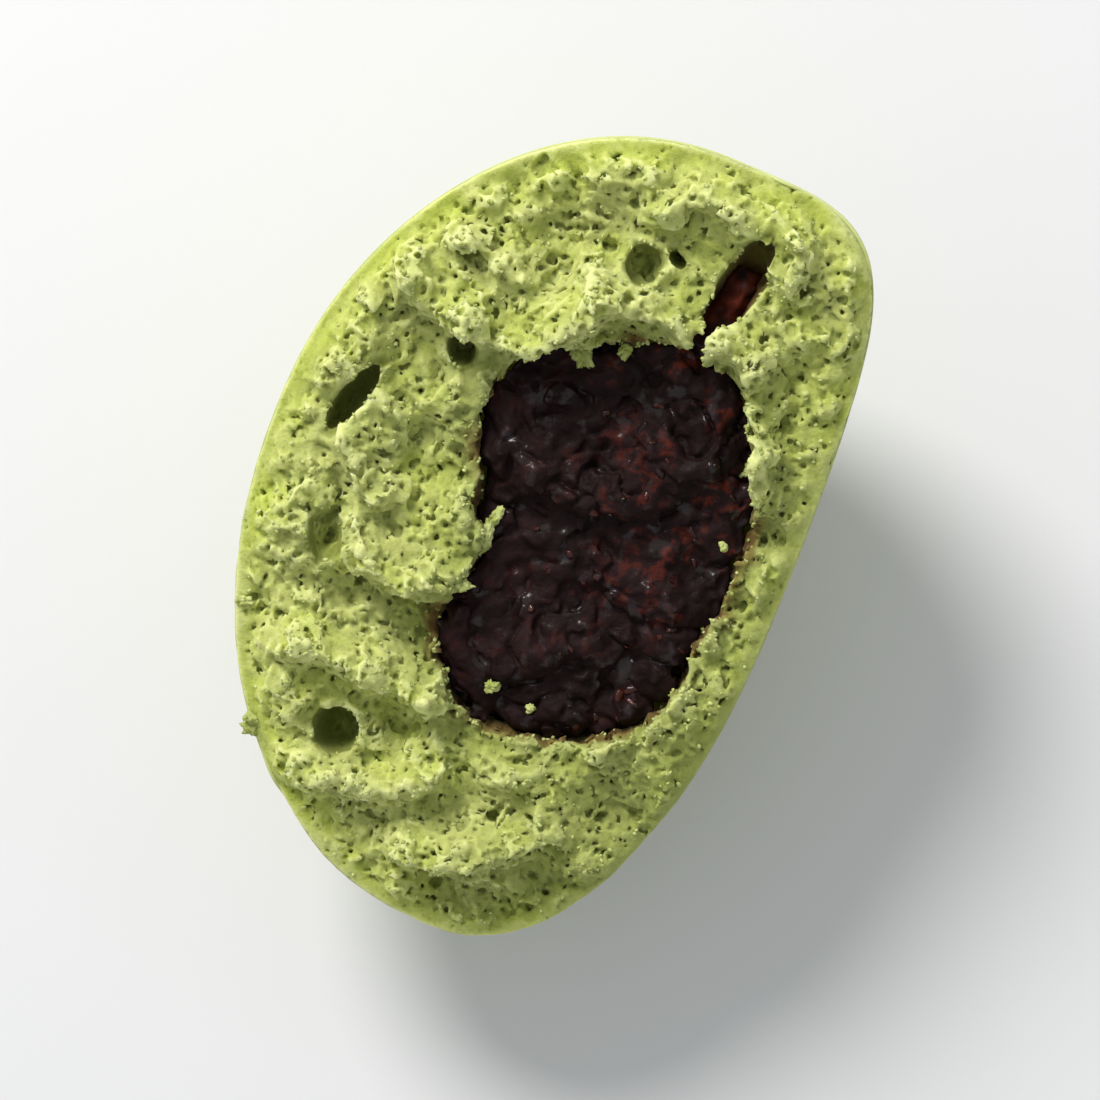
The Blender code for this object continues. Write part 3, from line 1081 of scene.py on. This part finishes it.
@dataclass
class Skin:
    """The thin steamed skin: a closed shell like a bowl, whose upper edge is the torn rim."""

    columns: int = 420
    rows: int = 84
    inner_rows: int = 14
    thickness: float = 0.45 * MM
    edge_thickness: float = 0.3 * MM
    proud: float = -0.45 * MM
    ragged: float = 0.25 * MM
    ragged_length: float = 1.6 * MM
    ragged_seed: float = 19
    dimple: float = 0.06 * MM
    dimple_length: float = 3.5 * MM
    dimple_seed: float = 29
    edge_looks: tuple[float, ...] = (0.99, 0.975, 0.96)
    edge_missing: float = -2 * MM

    def edge_height(self, solids: TornSolids, angle: float) -> float:
        """How high the torn edge of the skin stands at an angle round the torn face."""
        flat = Vector((math.cos(angle), math.sin(angle), 0.0))
        rim = solids.form.skin_point(flat)
        looks = [rim * share for share in self.edge_looks]
        seen = [solids.torn_height(look.x, look.y, self.edge_missing) for look in looks]
        tear = sorted(seen)[len(seen) // 2]
        return tear + self.proud + self.ragged * soft_noise(rim, self.ragged_length, self.ragged_seed)

    def profile(self, solids: TornSolids, angle: float, rows: int, inward: float) -> list[Vector]:
        """Points of the skin from its torn edge down to its pole.

        Args:
            solids: The solids in the tear frame.
            angle: The angle round the torn face.
            rows: How many steps there are to the pole.
            inward: How far inside the outer skin the points lie.

        Returns:
            The points, without the pole.
        """
        form = solids.form
        height = self.edge_height(solids, angle)
        tilt = math.asin(height / form.skin_point(Vector((math.cos(angle), math.sin(angle), 0.0))).length)
        points = []
        for row in range(rows):
            fall = tilt - (tilt + math.pi / 2) * row / rows
            flat = math.cos(fall)
            direction = Vector((flat * math.cos(angle), flat * math.sin(angle), math.sin(fall)))
            point = form.skin_point(direction)
            dimple = self.dimple * (1 + soft_noise(point, self.dimple_length, self.dimple_seed)) / 2
            wall = min(inward, self.edge_thickness) if row == 0 else inward
            points.append(point - direction * (dimple + wall))
        return points

    def press_flat(self, points: list[Vector], solids: TornSolids, floor: float) -> None:
        """Presses the skin flat where the half rests.

        Args:
            points: The skin's points, which are moved.
            solids: The solids in the tear frame.
            floor: How far down the floor lies in the tear frame.
        """
        down = solids.lie.down()
        blend = solids.form.rest_blend
        for point in points:
            above = floor - point.dot(down)
            if above < blend:
                point += down * (above - max(0.0, above + blend) ** 2 / (4 * blend))

    def sheet(self, solids: TornSolids, rows: int, inward: float) -> tuple[list[Vector], list[list[int]]]:
        """One wall of the skin.

        Args:
            solids: The solids in the tear frame.
            rows: How many steps there are from the edge to the pole.
            inward: How far inside the outer skin the wall lies.

        Returns:
            The points, with the pole last, and the faces that point out.
        """
        points = [
            point
            for column in range(self.columns)
            for point in self.profile(solids, math.tau * column / self.columns, rows, inward)
        ]
        pole = solids.form.skin_point(Vector((0, 0, -1)))
        points.append(pole * (1 - inward / pole.length))
        floor = solids.lie.from_world().to_translation().dot(solids.lie.down())
        self.press_flat(points, solids, floor - inward)
        faces = []
        for column in range(self.columns):
            here, there = column * rows, (column + 1) % self.columns * rows
            faces += [[here + k, here + k + 1, there + k + 1, there + k] for k in range(rows - 1)]
            faces.append([here + rows - 1, len(points) - 1, there + rows - 1])
        return points, faces

    @staticmethod
    def whole_form(solids: TornSolids) -> bpy.types.Mesh:
        """The whole bun's smooth form, to measure from."""
        shape = bmesh.new()
        bmesh.ops.create_uvsphere(shape, u_segments=128, v_segments=64, radius=1.0)
        for vertex in shape.verts:
            vertex.co = solids.form.skin_point(vertex.co.normalized())
        mesh = bpy.data.meshes.new("skin_form")
        shape.to_mesh(mesh)
        shape.free()
        return mesh

    def build(self, solids: TornSolids, finish: SkinFinish) -> bpy.types.Object:
        """Makes the shell and dresses it.

        Args:
            solids: The solids in the tear frame.
            finish: The skin's finish.

        Returns:
            The piece.
        """
        outer, outer_faces = self.sheet(solids, self.rows, 0.0)
        inner, inner_faces = self.sheet(solids, self.inner_rows, self.thickness)
        start = len(outer)
        faces = outer_faces + [[start + k for k in reversed(face)] for face in inner_faces]
        for column in range(self.columns):
            after = (column + 1) % self.columns
            top, next_top = column * self.rows, after * self.rows
            low, next_low = start + column * self.inner_rows, start + after * self.inner_rows
            faces.append([top, next_top, next_low, low])
        mesh = bpy.data.meshes.new("skin")
        mesh.from_pydata(outer + inner, [], faces)
        mesh.shade_smooth()
        mesh.materials.append(finish.material())
        return Piece.place("skin", mesh, Slot.DOUGH, solids.lie)


@dataclass(frozen=True)
class PoreSet:
    """Gas pores of one size: how far apart they are and their smallest and largest radius."""

    spacing: float
    small: float
    large: float
    rarity: float


@dataclass
class Crumb:
    """The torn, spongy crumb: the solid's torn face broken up by lumps, flakes and pores."""

    voxel: float = 0.25 * MM
    low: tuple[float, float, float] = (-45 * MM, -23 * MM, -8 * MM)
    high: tuple[float, float, float] = (45 * MM, 36 * MM, 7 * MM)
    blur: float = 1.2 * MM
    tuck: float = 0.12 * MM
    fold_length: float = 3.4 * MM
    fold_reach: float = 2.2 * MM
    flake_length: float = 1.4 * MM
    flake_reach: float = 0.9 * MM
    lump_length: float = 1.5 * MM
    lump_height: float = 0.9 * MM
    tuft_length: float = 3.0 * MM
    tuft_height: float = 0.5 * MM
    calm_rim: float = 2.8 * MM
    ridge_sharpness: float = 9.0
    pore_depth: float = 1.3 * MM
    pore_rounding: float = 0.12 * MM
    hole_rounding: float = 0.15 * MM
    keep_near: float = 2.6 * MM
    stain_round_smear: float = 0.1 * MM
    most_triangles: int = 196_000
    pores: tuple[PoreSet, ...] = (
        PoreSet(0.90 * MM, 0.10 * MM, 0.44 * MM, 1.1),
        PoreSet(1.7 * MM, 0.10 * MM, 0.72 * MM, 1.8),
        PoreSet(2.8 * MM, 0.10 * MM, 0.95 * MM, 2.6),
        PoreSet(6.0 * MM, 0.10 * MM, 1.4 * MM, 5.0),
    )
    holes: tuple[GasHole, ...] = (
        GasHole(-26.6 * MM, 16.7 * MM, 1.2 * MM, 2.7 * MM, 2.4 * MM, 4.2 * MM, 0),
        GasHole(7.0 * MM, 27.1 * MM, 0.6 * MM, 4.4 * MM, 1.4 * MM, 3.4 * MM, -17),
        GasHole(30.1 * MM, 4.6 * MM, 0.4 * MM, 2.2 * MM, 1.8 * MM, 2.1 * MM, 20),
        GasHole(31.8 * MM, 1.6 * MM, 0.4 * MM, 1.1 * MM, 0.7 * MM, 1.9 * MM, 60),
        TUNNEL,
        GasHole(25.0 * MM, -3.6 * MM, 0.4 * MM, 4.6 * MM, 1.4 * MM, 2.6 * MM, -12),
        GasHole(-7.5 * MM, 24.7 * MM, 0.0, 2.9 * MM, 1.8 * MM, 1.8 * MM, 10),
        GasHole(15.6 * MM, 18.6 * MM, 1.2 * MM, 1.9 * MM, 1.4 * MM, 3.6 * MM, 30),
    )

    def tree(self, skin: bpy.types.Object, paste: bpy.types.Object) -> ShapeTree:
        """Starts the tree with its named inputs.

        Args:
            skin: The outer skin in the tear frame.
            paste: The solid paste in the tear frame.

        Returns:
            The tree.
        """
        inputs = {
            "Skin": skin,
            "Paste": paste,
            "Fold reach": self.fold_reach,
            "Flake reach": self.flake_reach,
            "Lump height": self.lump_height,
            "Tuft height": self.tuft_height,
        }
        return ShapeTree("crumb", inputs | grid_inputs(self.low, self.high, self.voxel))

    def over_tear(self, tree: ShapeTree, place: Term) -> Term:
        """How far a place lies over the solid's torn face, and less than 0 under it."""
        top = self.high[2]
        flat = tree.node("ShaderNodeSeparateXYZ", {}, {0: place})
        sockets = {"X": flat.outputs["X"], "Y": flat.outputs["Y"], "Z": top}
        start = tree.term("ShaderNodeCombineXYZ", {}, sockets)
        sockets = {
            "Target Geometry": tree.given("Geometry"),
            "Source Position": start,
            "Ray Direction": (0.0, 0.0, -1.0),
            "Ray Length": top - 3 * self.low[2],
        }
        ray = tree.node("GeometryNodeRaycast", {}, sockets)
        height = top - Term(tree, ray.outputs["Hit Distance"])
        under = height.over(Term(tree, flat.outputs["Z"])) * Term(tree, ray.outputs["Is Hit"])
        return tree.gap(tree.given("Geometry"), place) * (1 - under * 2)

    def solid(self, tree: ShapeTree, place: Term, within: Term, solids: TornSolids) -> Term:
        """How far a place lies outside the crumb.

        Args:
            tree: The crumb's tree.
            place: The place.
            within: How far inside the outer skin it lies.
            solids: The solids in the tear frame.

        Returns:
            The signed distance in metres.
        """
        free = within.eased(0.2 * MM, self.calm_rim)
        pushed = tree.shift(place, self.fold_length, free * tree.given("Fold reach"))
        pushed = tree.shift(pushed, self.flake_length, (free * 0.8 + 0.2) * tree.given("Flake reach"))
        body = self.over_tear(tree, pushed)
        lumps = (0.5 - tree.noise(place, self.lump_length, 3.0, Roughness=0.68)) * tree.given("Lump height")
        body = body + lumps * (free * 0.75 + 0.25)
        ridge = 1 - (tree.noise(place, self.tuft_length, 2.0) - 0.5).size() * self.ridge_sharpness
        body = body - ridge.larger(0.0) * free * tree.given("Tuft height")
        air = self.open_air(tree, place, solids)
        open_to = body.eased(-self.pore_depth, -0.6 * self.pore_depth) * (1 - air.eased(-1.0 * MM, -0.2 * MM))
        for pores in self.pores:
            bent = tree.shift(place, 0.6 * pores.spacing, 0.8 * pores.spacing)
            distance, random = tree.cells(bent, pores.spacing)
            radius = random**pores.rarity * (pores.large - pores.small) + pores.small
            hole = radius * open_to * (free * 0.6 + 0.4) - distance
            body = body.rounded_larger(hole, self.pore_rounding)
        body = body.rounded_larger(air, self.hole_rounding)
        return body.larger(self.tuck - within)

    def open_air(self, tree: ShapeTree, place: Term, solids: TornSolids) -> Term:
        """How far a place lies inside the nearest gas hole, and less than 0 outside them all.

        Args:
            tree: The crumb's tree.
            place: The place.
            solids: The solids in the tear frame.

        Returns:
            The signed distance in metres.
        """
        bent = tree.shift(place, 2.0 * MM, 0.5 * MM)
        halves = [(hole.half_long, hole.half_short, hole.half_deep) for hole in self.holes]
        depths = [
            tree.in_oval(bent, hole.middle(solids), half, hole.bearing_deg)
            for hole, half in zip(self.holes, halves)
        ]
        return functools.reduce(Term.larger, depths)

    def grow(
        self, solids: TornSolids, skin: bpy.types.Object, paste: bpy.types.Object, finish: CrumbFinish
    ) -> bpy.types.Mesh:
        """Grows the crumb from the torn face and dresses it.

        Args:
            solids: The solids in the tear frame.
            skin: The outer skin in the tear frame.
            paste: The solid paste in the tear frame.
            finish: The crumb's finish.

        Returns:
            The mesh in the tear frame.
        """
        tree = self.tree(skin, paste)
        place = tree.term("GeometryNodeInputPosition", {}, {})
        within = tree.within(tree.shape_of("Skin"), place)
        shape = tree.skinned(self.solid(tree, place, within, solids), self.blur)
        shape = tree.without(shape, tree.gap(tree.given("Geometry"), place).over(self.keep_near))
        shape = tree.largest_piece(shape)
        # TIP and SWELL drive the crumb's painted highlight and painted shade, and HOLE its painted shade in
        # the gas holes.
        shape = tree.marked(shape, Mark.TIP, tree.standing_out(5))
        shape = tree.marked(shape, Mark.SWELL, tree.standing_out(160))
        shape = tree.marked(shape, Mark.HOLE, self.open_air(tree, place, solids))
        to_smear = self.stain_round_smear - Smear().inside(tree, place, solids)
        to_paste = tree.gap(tree.shape_of("Paste"), place)
        shape = tree.marked(shape, Mark.STAIN_AND_SHADE, to_paste.smaller(to_smear))
        shape = tree.marked(shape, Mark.RIM, within)
        return thinned(tree.run(solids.torn, shape, finish.material()), self.most_triangles)


@dataclass
class Scatter:
    """Many small crumpled flakes of one kind on a mesh."""

    density: float
    smallest: tuple[float, float, float]
    largest: tuple[float, float, float]
    most_tilt_deg: float
    crumple: float
    fineness: int
    seed: int

    def flake(self, tree: ShapeTree) -> Term:
        """One flake of about 1 m, which its place's scale makes tiny."""
        sockets = {"Radius": 1.0, "Subdivisions": self.fineness}
        ball = tree.term("GeometryNodeMeshIcoSphere", {}, sockets)
        place = tree.term("GeometryNodeInputPosition", {}, {})
        dent = tree.vector("SUBTRACT", tree.noise(place, 0.9, 1.0, "Color"), (0.5, 0.5, 0.5))
        push = tree.scaled(dent, tree.given("Crumple") * 2)
        return tree.term("GeometryNodeSetPosition", {}, {"Geometry": ball, "Offset": push})

    def share(self, tree: ShapeTree) -> Term:
        """How thickly the flakes lie at a place, from 0 to 1.

        Args:
            tree: The scatter's tree.

        Returns:
            The share.
        """
        raise NotImplementedError

    def grow(self, ground: bpy.types.Mesh, material: bpy.types.Material) -> bpy.types.Mesh:
        """Scatters the flakes over a mesh.

        Args:
            ground: The mesh in the tear frame.
            material: The flakes' finish.

        Returns:
            The flakes in the tear frame, as one mesh.
        """
        inputs = {
            "Density": self.density,
            "Smallest": self.smallest,
            "Largest": self.largest,
            "Crumple": self.crumple,
            "Seed": self.seed,
        }
        tree = ShapeTree("scatter", inputs)
        sockets = {
            "Mesh": tree.given("Geometry"),
            "Density": tree.given("Density") * self.share(tree).held(),
            "Seed": tree.given("Seed"),
        }
        points = tree.node("GeometryNodeDistributePointsOnFaces", {"distribute_method": "RANDOM"}, sockets)
        settings = {"data_type": "FLOAT_VECTOR"}
        sockets = {"Min": tree.given("Smallest"), "Max": tree.given("Largest"), "Seed": tree.given("Seed")}
        size = tree.term("FunctionNodeRandomValue", settings, sockets)
        tilt = math.radians(self.most_tilt_deg)
        sockets = {"Min": (-tilt, -tilt, 0.0), "Max": (tilt, tilt, math.tau), "Seed": self.seed + 1}
        lean = tree.term("FunctionNodeRandomValue", settings, sockets)
        sockets = {0: points.outputs["Rotation"], 1: tree.term("FunctionNodeEulerToRotation", {}, {0: lean})}
        turn = tree.term("FunctionNodeRotateRotation", {"rotation_space": "LOCAL"}, sockets)
        sockets = {
            "Points": points.outputs["Points"],
            "Instance": self.flake(tree),
            "Rotation": turn,
            "Scale": size,
        }
        placed = tree.term("GeometryNodeInstanceOnPoints", {}, sockets)
        return tree.run(ground, placed, material)


@dataclass
class CrumbBits(Scatter):
    """Tiny torn flakes that stand on the crumb, most of them on its ledges and tufts."""

    density: float = 1.5e6
    smallest: tuple[float, float, float] = (0.10 * MM, 0.08 * MM, 0.10 * MM)
    largest: tuple[float, float, float] = (0.42 * MM, 0.28 * MM, 0.34 * MM)
    most_tilt_deg: float = 70
    crumple: float = 0.8
    fineness: int = 1
    seed: int = 11

    def share(self, tree: ShapeTree) -> Term:
        """Thickest on what stands out, and none in the gas holes and at the rim."""
        tip, swell, rim = (
            tree.term("GeometryNodeInputNamedAttribute", {"data_type": "FLOAT"}, {"Name": mark.value})
            for mark in (Mark.TIP, Mark.SWELL, Mark.RIM)
        )
        proud = swell.eased(0.1 * MM, 0.9 * MM) * tip.eased(-0.05 * MM, 0.06 * MM)
        return (proud + swell.eased(-0.5 * MM, -0.1 * MM) * 0.06) * rim.eased(0.4 * MM, 2.5 * MM)


@dataclass
class BeanSkins(Scatter):
    """Crushed bean skins that lie in the paste, more of them towards the base."""

    density: float = 0.12e6
    smallest: tuple[float, float, float] = (0.20 * MM, 0.15 * MM, 0.05 * MM)
    largest: tuple[float, float, float] = (0.85 * MM, 0.65 * MM, 0.14 * MM)
    most_tilt_deg: float = 30
    crumple: float = 0.9
    fineness: int = 2
    seed: int = 23

    def share(self, tree: ShapeTree) -> Term:
        """In patches, on the torn front alone."""
        place = tree.term("GeometryNodeInputPosition", {}, {})
        normal = tree.term("GeometryNodeInputNormal", {}, {})
        front = tree.axis(normal, "Z").eased(0.3, 0.6)
        patches = tree.noise(place, 5 * MM, 2.0).eased(0.46, 0.6)
        in_lump = 1 - tree.axis(place, "X").eased(18 * MM, 21 * MM)
        to_base = (0.0 - tree.axis(place, "Y")).eased(-10 * MM, 10 * MM)
        return front * patches * in_lump * (to_base * 0.7 + 0.3)


@dataclass(frozen=True)
class LooseCrumb:
    """One torn scrap of dough: where it lies, its half sizes and how far it is turned."""

    x: float
    y: float
    half_long: float
    half_wide: float
    half_high: float
    bearing_deg: float


@dataclass
class LooseCrumbs:
    """Scraps of dough that the tear left on the paste and at the rim."""

    roughness: float = 0.34
    grain: float = 0.45 * MM
    finer: float = 2.3
    finer_share: float = 0.8
    spread: float = 1.6
    raised: float = 0.35
    drop_height: float = 20 * MM
    seed: float = 43
    rim_height: float = -1.5 * MM
    scraps: tuple[LooseCrumb, ...] = (
        LooseCrumb(19.6 * MM, 7.2 * MM, 1.5 * MM, 0.9 * MM, 0.9 * MM, 35),
        LooseCrumb(21.2 * MM, 3.2 * MM, 0.8 * MM, 0.6 * MM, 0.6 * MM, -30),
        LooseCrumb(0.4 * MM, 9.2 * MM, 1.2 * MM, 0.5 * MM, 0.5 * MM, -8),
        LooseCrumb(-1.6 * MM, 9.5 * MM, 1.3 * MM, 0.6 * MM, 0.6 * MM, 12),
        LooseCrumb(-3.2 * MM, 9.4 * MM, 0.8 * MM, 0.5 * MM, 0.5 * MM, -20),
        LooseCrumb(-7.2 * MM, 9.9 * MM, 0.6 * MM, 1.0 * MM, 0.5 * MM, 20),
        LooseCrumb(-16.4 * MM, 3.4 * MM, 0.6 * MM, 0.8 * MM, 0.5 * MM, 0),
        LooseCrumb(6.1 * MM, -13.4 * MM, 0.5 * MM, 0.4 * MM, 0.4 * MM, 50),
        LooseCrumb(14.2 * MM, -12.8 * MM, 0.9 * MM, 0.5 * MM, 0.6 * MM, -20),
        LooseCrumb(-17.5 * MM, -1.2 * MM, 0.5 * MM, 0.5 * MM, 0.4 * MM, 10),
        LooseCrumb(-17.6 * MM, 30.3 * MM, 0.5 * MM, 0.9 * MM, 0.5 * MM, 15),
        LooseCrumb(-30.2 * MM, 24.9 * MM, 0.9 * MM, 1.2 * MM, 0.6 * MM, 30),
        LooseCrumb(-29.2 * MM, 25.4 * MM, 0.5 * MM, 0.8 * MM, 0.5 * MM, -10),
    )

    def scrap(self, scrap: LooseCrumb, ground: list[BVHTree]) -> bmesh.types.BMesh:
        """One scrap where it lies.

        Args:
            scrap: Its place and sizes.
            ground: What it may lie on.

        Returns:
            Its shape.
        """
        start = Vector((scrap.x, scrap.y, self.drop_height))
        hits = [tree.ray_cast(start, Vector((0, 0, -1)))[0] for tree in ground]
        height = max((hit.z for hit in hits if hit), default=self.rim_height)
        shape = bmesh.new()
        bmesh.ops.create_icosphere(shape, subdivisions=4, radius=1.0)
        sizes = Matrix.Diagonal((scrap.half_long, scrap.half_wide, scrap.half_high, 1.0))
        turn = Matrix.Rotation(math.radians(scrap.bearing_deg), 4, "Z")
        middle = Vector((scrap.x, scrap.y, height + self.raised * scrap.half_high))
        bmesh.ops.transform(shape, matrix=Matrix.Translation(middle) @ turn @ sizes, verts=shape.verts)
        for vertex in shape.verts:
            coarse = soft_noise(vertex.co, self.grain, self.seed)
            fine = soft_noise(vertex.co, self.grain / self.finer, self.seed + 1)
            bulge = coarse + self.finer_share * fine
            vertex.co += (vertex.co - middle) * self.roughness * bulge * self.spread
        return shape

    def grow(self, ground: list[BVHTree], material: bpy.types.Material) -> bpy.types.Mesh:
        """Makes every scrap.

        Args:
            ground: What they may lie on, in the tear frame.
            material: Their finish.

        Returns:
            The scraps in the tear frame, as one mesh.
        """
        whole = bmesh.new()
        for place in self.scraps:
            shape = self.scrap(place, ground)
            part = bpy.data.meshes.new("scrap")
            shape.to_mesh(part)
            shape.free()
            whole.from_mesh(part)
            bpy.data.meshes.remove(part)
        mesh = bpy.data.meshes.new("loose_crumbs")
        whole.to_mesh(mesh)
        whole.free()
        mesh.shade_smooth()
        mesh.materials.append(material)
        return mesh


@dataclass
class Paste:
    """The torn bean paste: soft mashed lumps grown from the solid's form, with a smear up the gas tunnel."""

    voxel: float = 0.25 * MM
    low: tuple[float, float, float] = (-25 * MM, -19 * MM, -7 * MM)
    high: tuple[float, float, float] = (38 * MM, 19 * MM, 4 * MM)
    blur: float = 1.2 * MM
    fold_length: float = 5.0 * MM
    fold_reach: float = 2.2 * MM
    mash_length: float = 1.7 * MM
    mash_reach: float = 1.2 * MM
    lump_length: float = 2.4 * MM
    lump_height: float = 1.5 * MM
    crease_length: float = 5.0 * MM
    crease_sharpness: float = 14.0
    crease_depth: float = 0.7 * MM
    smear_lump_length: float = 1.4 * MM
    smear_lump_height: float = 1.6 * MM
    smear_rounding: float = 0.8 * MM
    open_floor: float = 1 * MM

    def tree(self) -> ShapeTree:
        """Starts the tree with its named inputs."""
        inputs = {
            "Fold reach": self.fold_reach,
            "Mash reach": self.mash_reach,
            "Lump height": self.lump_height,
            "Crease depth": self.crease_depth,
        }
        return ShapeTree("paste", inputs | grid_inputs(self.low, self.high, self.voxel))

    def grow(self, solids: TornSolids, finish: PasteFinish) -> bpy.types.Mesh:
        """Grows the paste and dresses it.

        Args:
            solids: The solids in the tear frame.
            finish: The paste's finish.

        Returns:
            The mesh in the tear frame.
        """
        tree = self.tree()
        place = tree.term("GeometryNodeInputPosition", {}, {})
        pushed = tree.shift(place, self.fold_length, tree.given("Fold reach"))
        pushed = tree.shift(pushed, self.mash_length, tree.given("Mash reach"))
        body = tree.outside(tree.given("Geometry"), pushed)
        lumps = 0.5 - tree.noise(place, self.lump_length, 3.0, Roughness=0.62)
        body = body + lumps * tree.given("Lump height")
        crease = 1 - (tree.noise(pushed, self.crease_length, 1.0) - 0.5).size() * self.crease_sharpness
        body = body + crease.larger(0.0) * tree.given("Crease depth")
        smear = 0.0 - Smear().inside(tree, tree.shift(place, 2.2 * MM, 1.4 * MM), solids)
        smear = smear + (tree.noise(place, self.smear_lump_length, 3.0) - 0.5) * self.smear_lump_height
        body = body.rounded_smaller(smear, self.smear_rounding)
        shape = tree.skinned(body, self.blur)
        height = tree.axis(place, "Z")
        shape = tree.without(shape, (self.low[2] + self.open_floor - height).over(0.0))
        shape = tree.largest_piece(shape)
        return tree.run(solids.paste, shape, finish.material())


@dataclass
class Studio:
    """A pale floor, soft light from the top of the picture and a camera that looks down on the torn face."""

    floor_size: float = 1.6
    lens: float = 120.0
    fill: float = 0.70
    view_height_deg: float = 85.0
    key_power: float = 12.0
    key_size: float = 0.42
    key_place: tuple[float, float, float] = (-0.38, 0.66, 0.72)
    world_strength: float = 0.59

    def floor(self, finish: FloorFinish) -> None:
        """Lays the floor."""
        shape = bmesh.new()
        bmesh.ops.create_grid(shape, x_segments=1, y_segments=1, size=self.floor_size / 2)
        mesh = bpy.data.meshes.new("floor")
        shape.to_mesh(mesh)
        shape.free()
        mesh.materials.append(finish.material())
        stand_in("floor", mesh)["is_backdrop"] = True

    def lights(self) -> None:
        """Hangs one large soft light and evens it out with a pale sky."""
        lamp = bpy.data.lights.new("key", "AREA")
        lamp.shape = "DISK"
        lamp.size = self.key_size
        lamp.energy = self.key_power
        lamp.color = (1.0, 0.985, 0.96)
        key = bpy.data.objects.new("key", lamp)
        key.location = self.key_place
        key.rotation_euler = (-Vector(self.key_place)).to_track_quat("-Z", "Y").to_euler()
        bpy.context.scene.collection.objects.link(key)
        world = bpy.data.worlds.new("studio")
        bpy.context.scene.world = world
        world.use_nodes = True
        background = world.node_tree.nodes["Background"]
        background.inputs["Color"].default_value = (0.94, 0.97, 1.0, 1.0)
        background.inputs["Strength"].default_value = self.world_strength

    def camera(self, low: Vector, high: Vector) -> None:
        """Sets the camera so that the half fills its share of the picture.

        Args:
            low: The object's lowest corner.
            high: Its highest corner.
        """
        camera = bpy.data.cameras.new("camera")
        camera.lens = self.lens
        view = math.radians(self.view_height_deg)
        back = Vector((0, -math.cos(view), math.sin(view)))
        tall = high.y - low.y
        distance = tall / self.fill * self.lens / camera.sensor_width
        made = bpy.data.objects.new("camera", camera)
        made.location = (low + high) / 2 + back * distance
        made.rotation_euler = back.to_track_quat("Z", "Y").to_euler()
        bpy.context.scene.collection.objects.link(made)
        bpy.context.scene.camera = made

    def build(self, low: Vector, high: Vector) -> None:
        """Sets up the floor, the lights, the camera and the plain colours of the picture.

        Args:
            low: The object's lowest corner.
            high: Its highest corner.
        """
        self.floor(FloorFinish())
        self.lights()
        self.camera(low, high)
        bpy.context.scene.view_settings.view_transform = "Standard"


def main() -> None:
    """Builds the pieces in order and reports each one."""
    logging.basicConfig(level=logging.INFO, format="%(name)s: %(message)s")
    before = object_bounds()
    solids = TornSolids(Lie(), BunForm())
    skin = Skin()
    skin_form = stand_in("skin_form", skin.whole_form(solids))
    paste_form = stand_in("paste_form", solids.paste)
    crumb = Crumb().grow(solids, skin_form, paste_form, CrumbFinish())
    pale_flakes = BitsFinish().material()
    bits = CrumbBits().grow(crumb, pale_flakes)
    paste = Paste().grow(solids, PasteFinish())
    bean_skins = BeanSkins().grow(paste, BeanSkinFinish().material())
    ground = [BVHTree.FromPolygons(*solids.polygons(mesh)) for mesh in (crumb, paste)]
    scraps = LooseCrumbs().grow(ground, pale_flakes)
    Piece.place("crumb", crumb, Slot.DOUGH, solids.lie, Solid.DOUGH)
    Piece.place("crumb_bits", bits, Slot.DOUGH, solids.lie)
    Piece.place("loose_crumbs", scraps, Slot.DOUGH, solids.lie)
    Piece.place("paste", paste, Slot.PASTE, solids.lie, Solid.PASTE)
    Piece.place("bean_skins", bean_skins, Slot.PASTE, solids.lie)
    skin.build(solids, SkinFinish())
    for helper in (skin_form, paste_form):
        bpy.data.objects.remove(helper)
    Studio().build(*before)


if __name__ == "__main__":
    main()
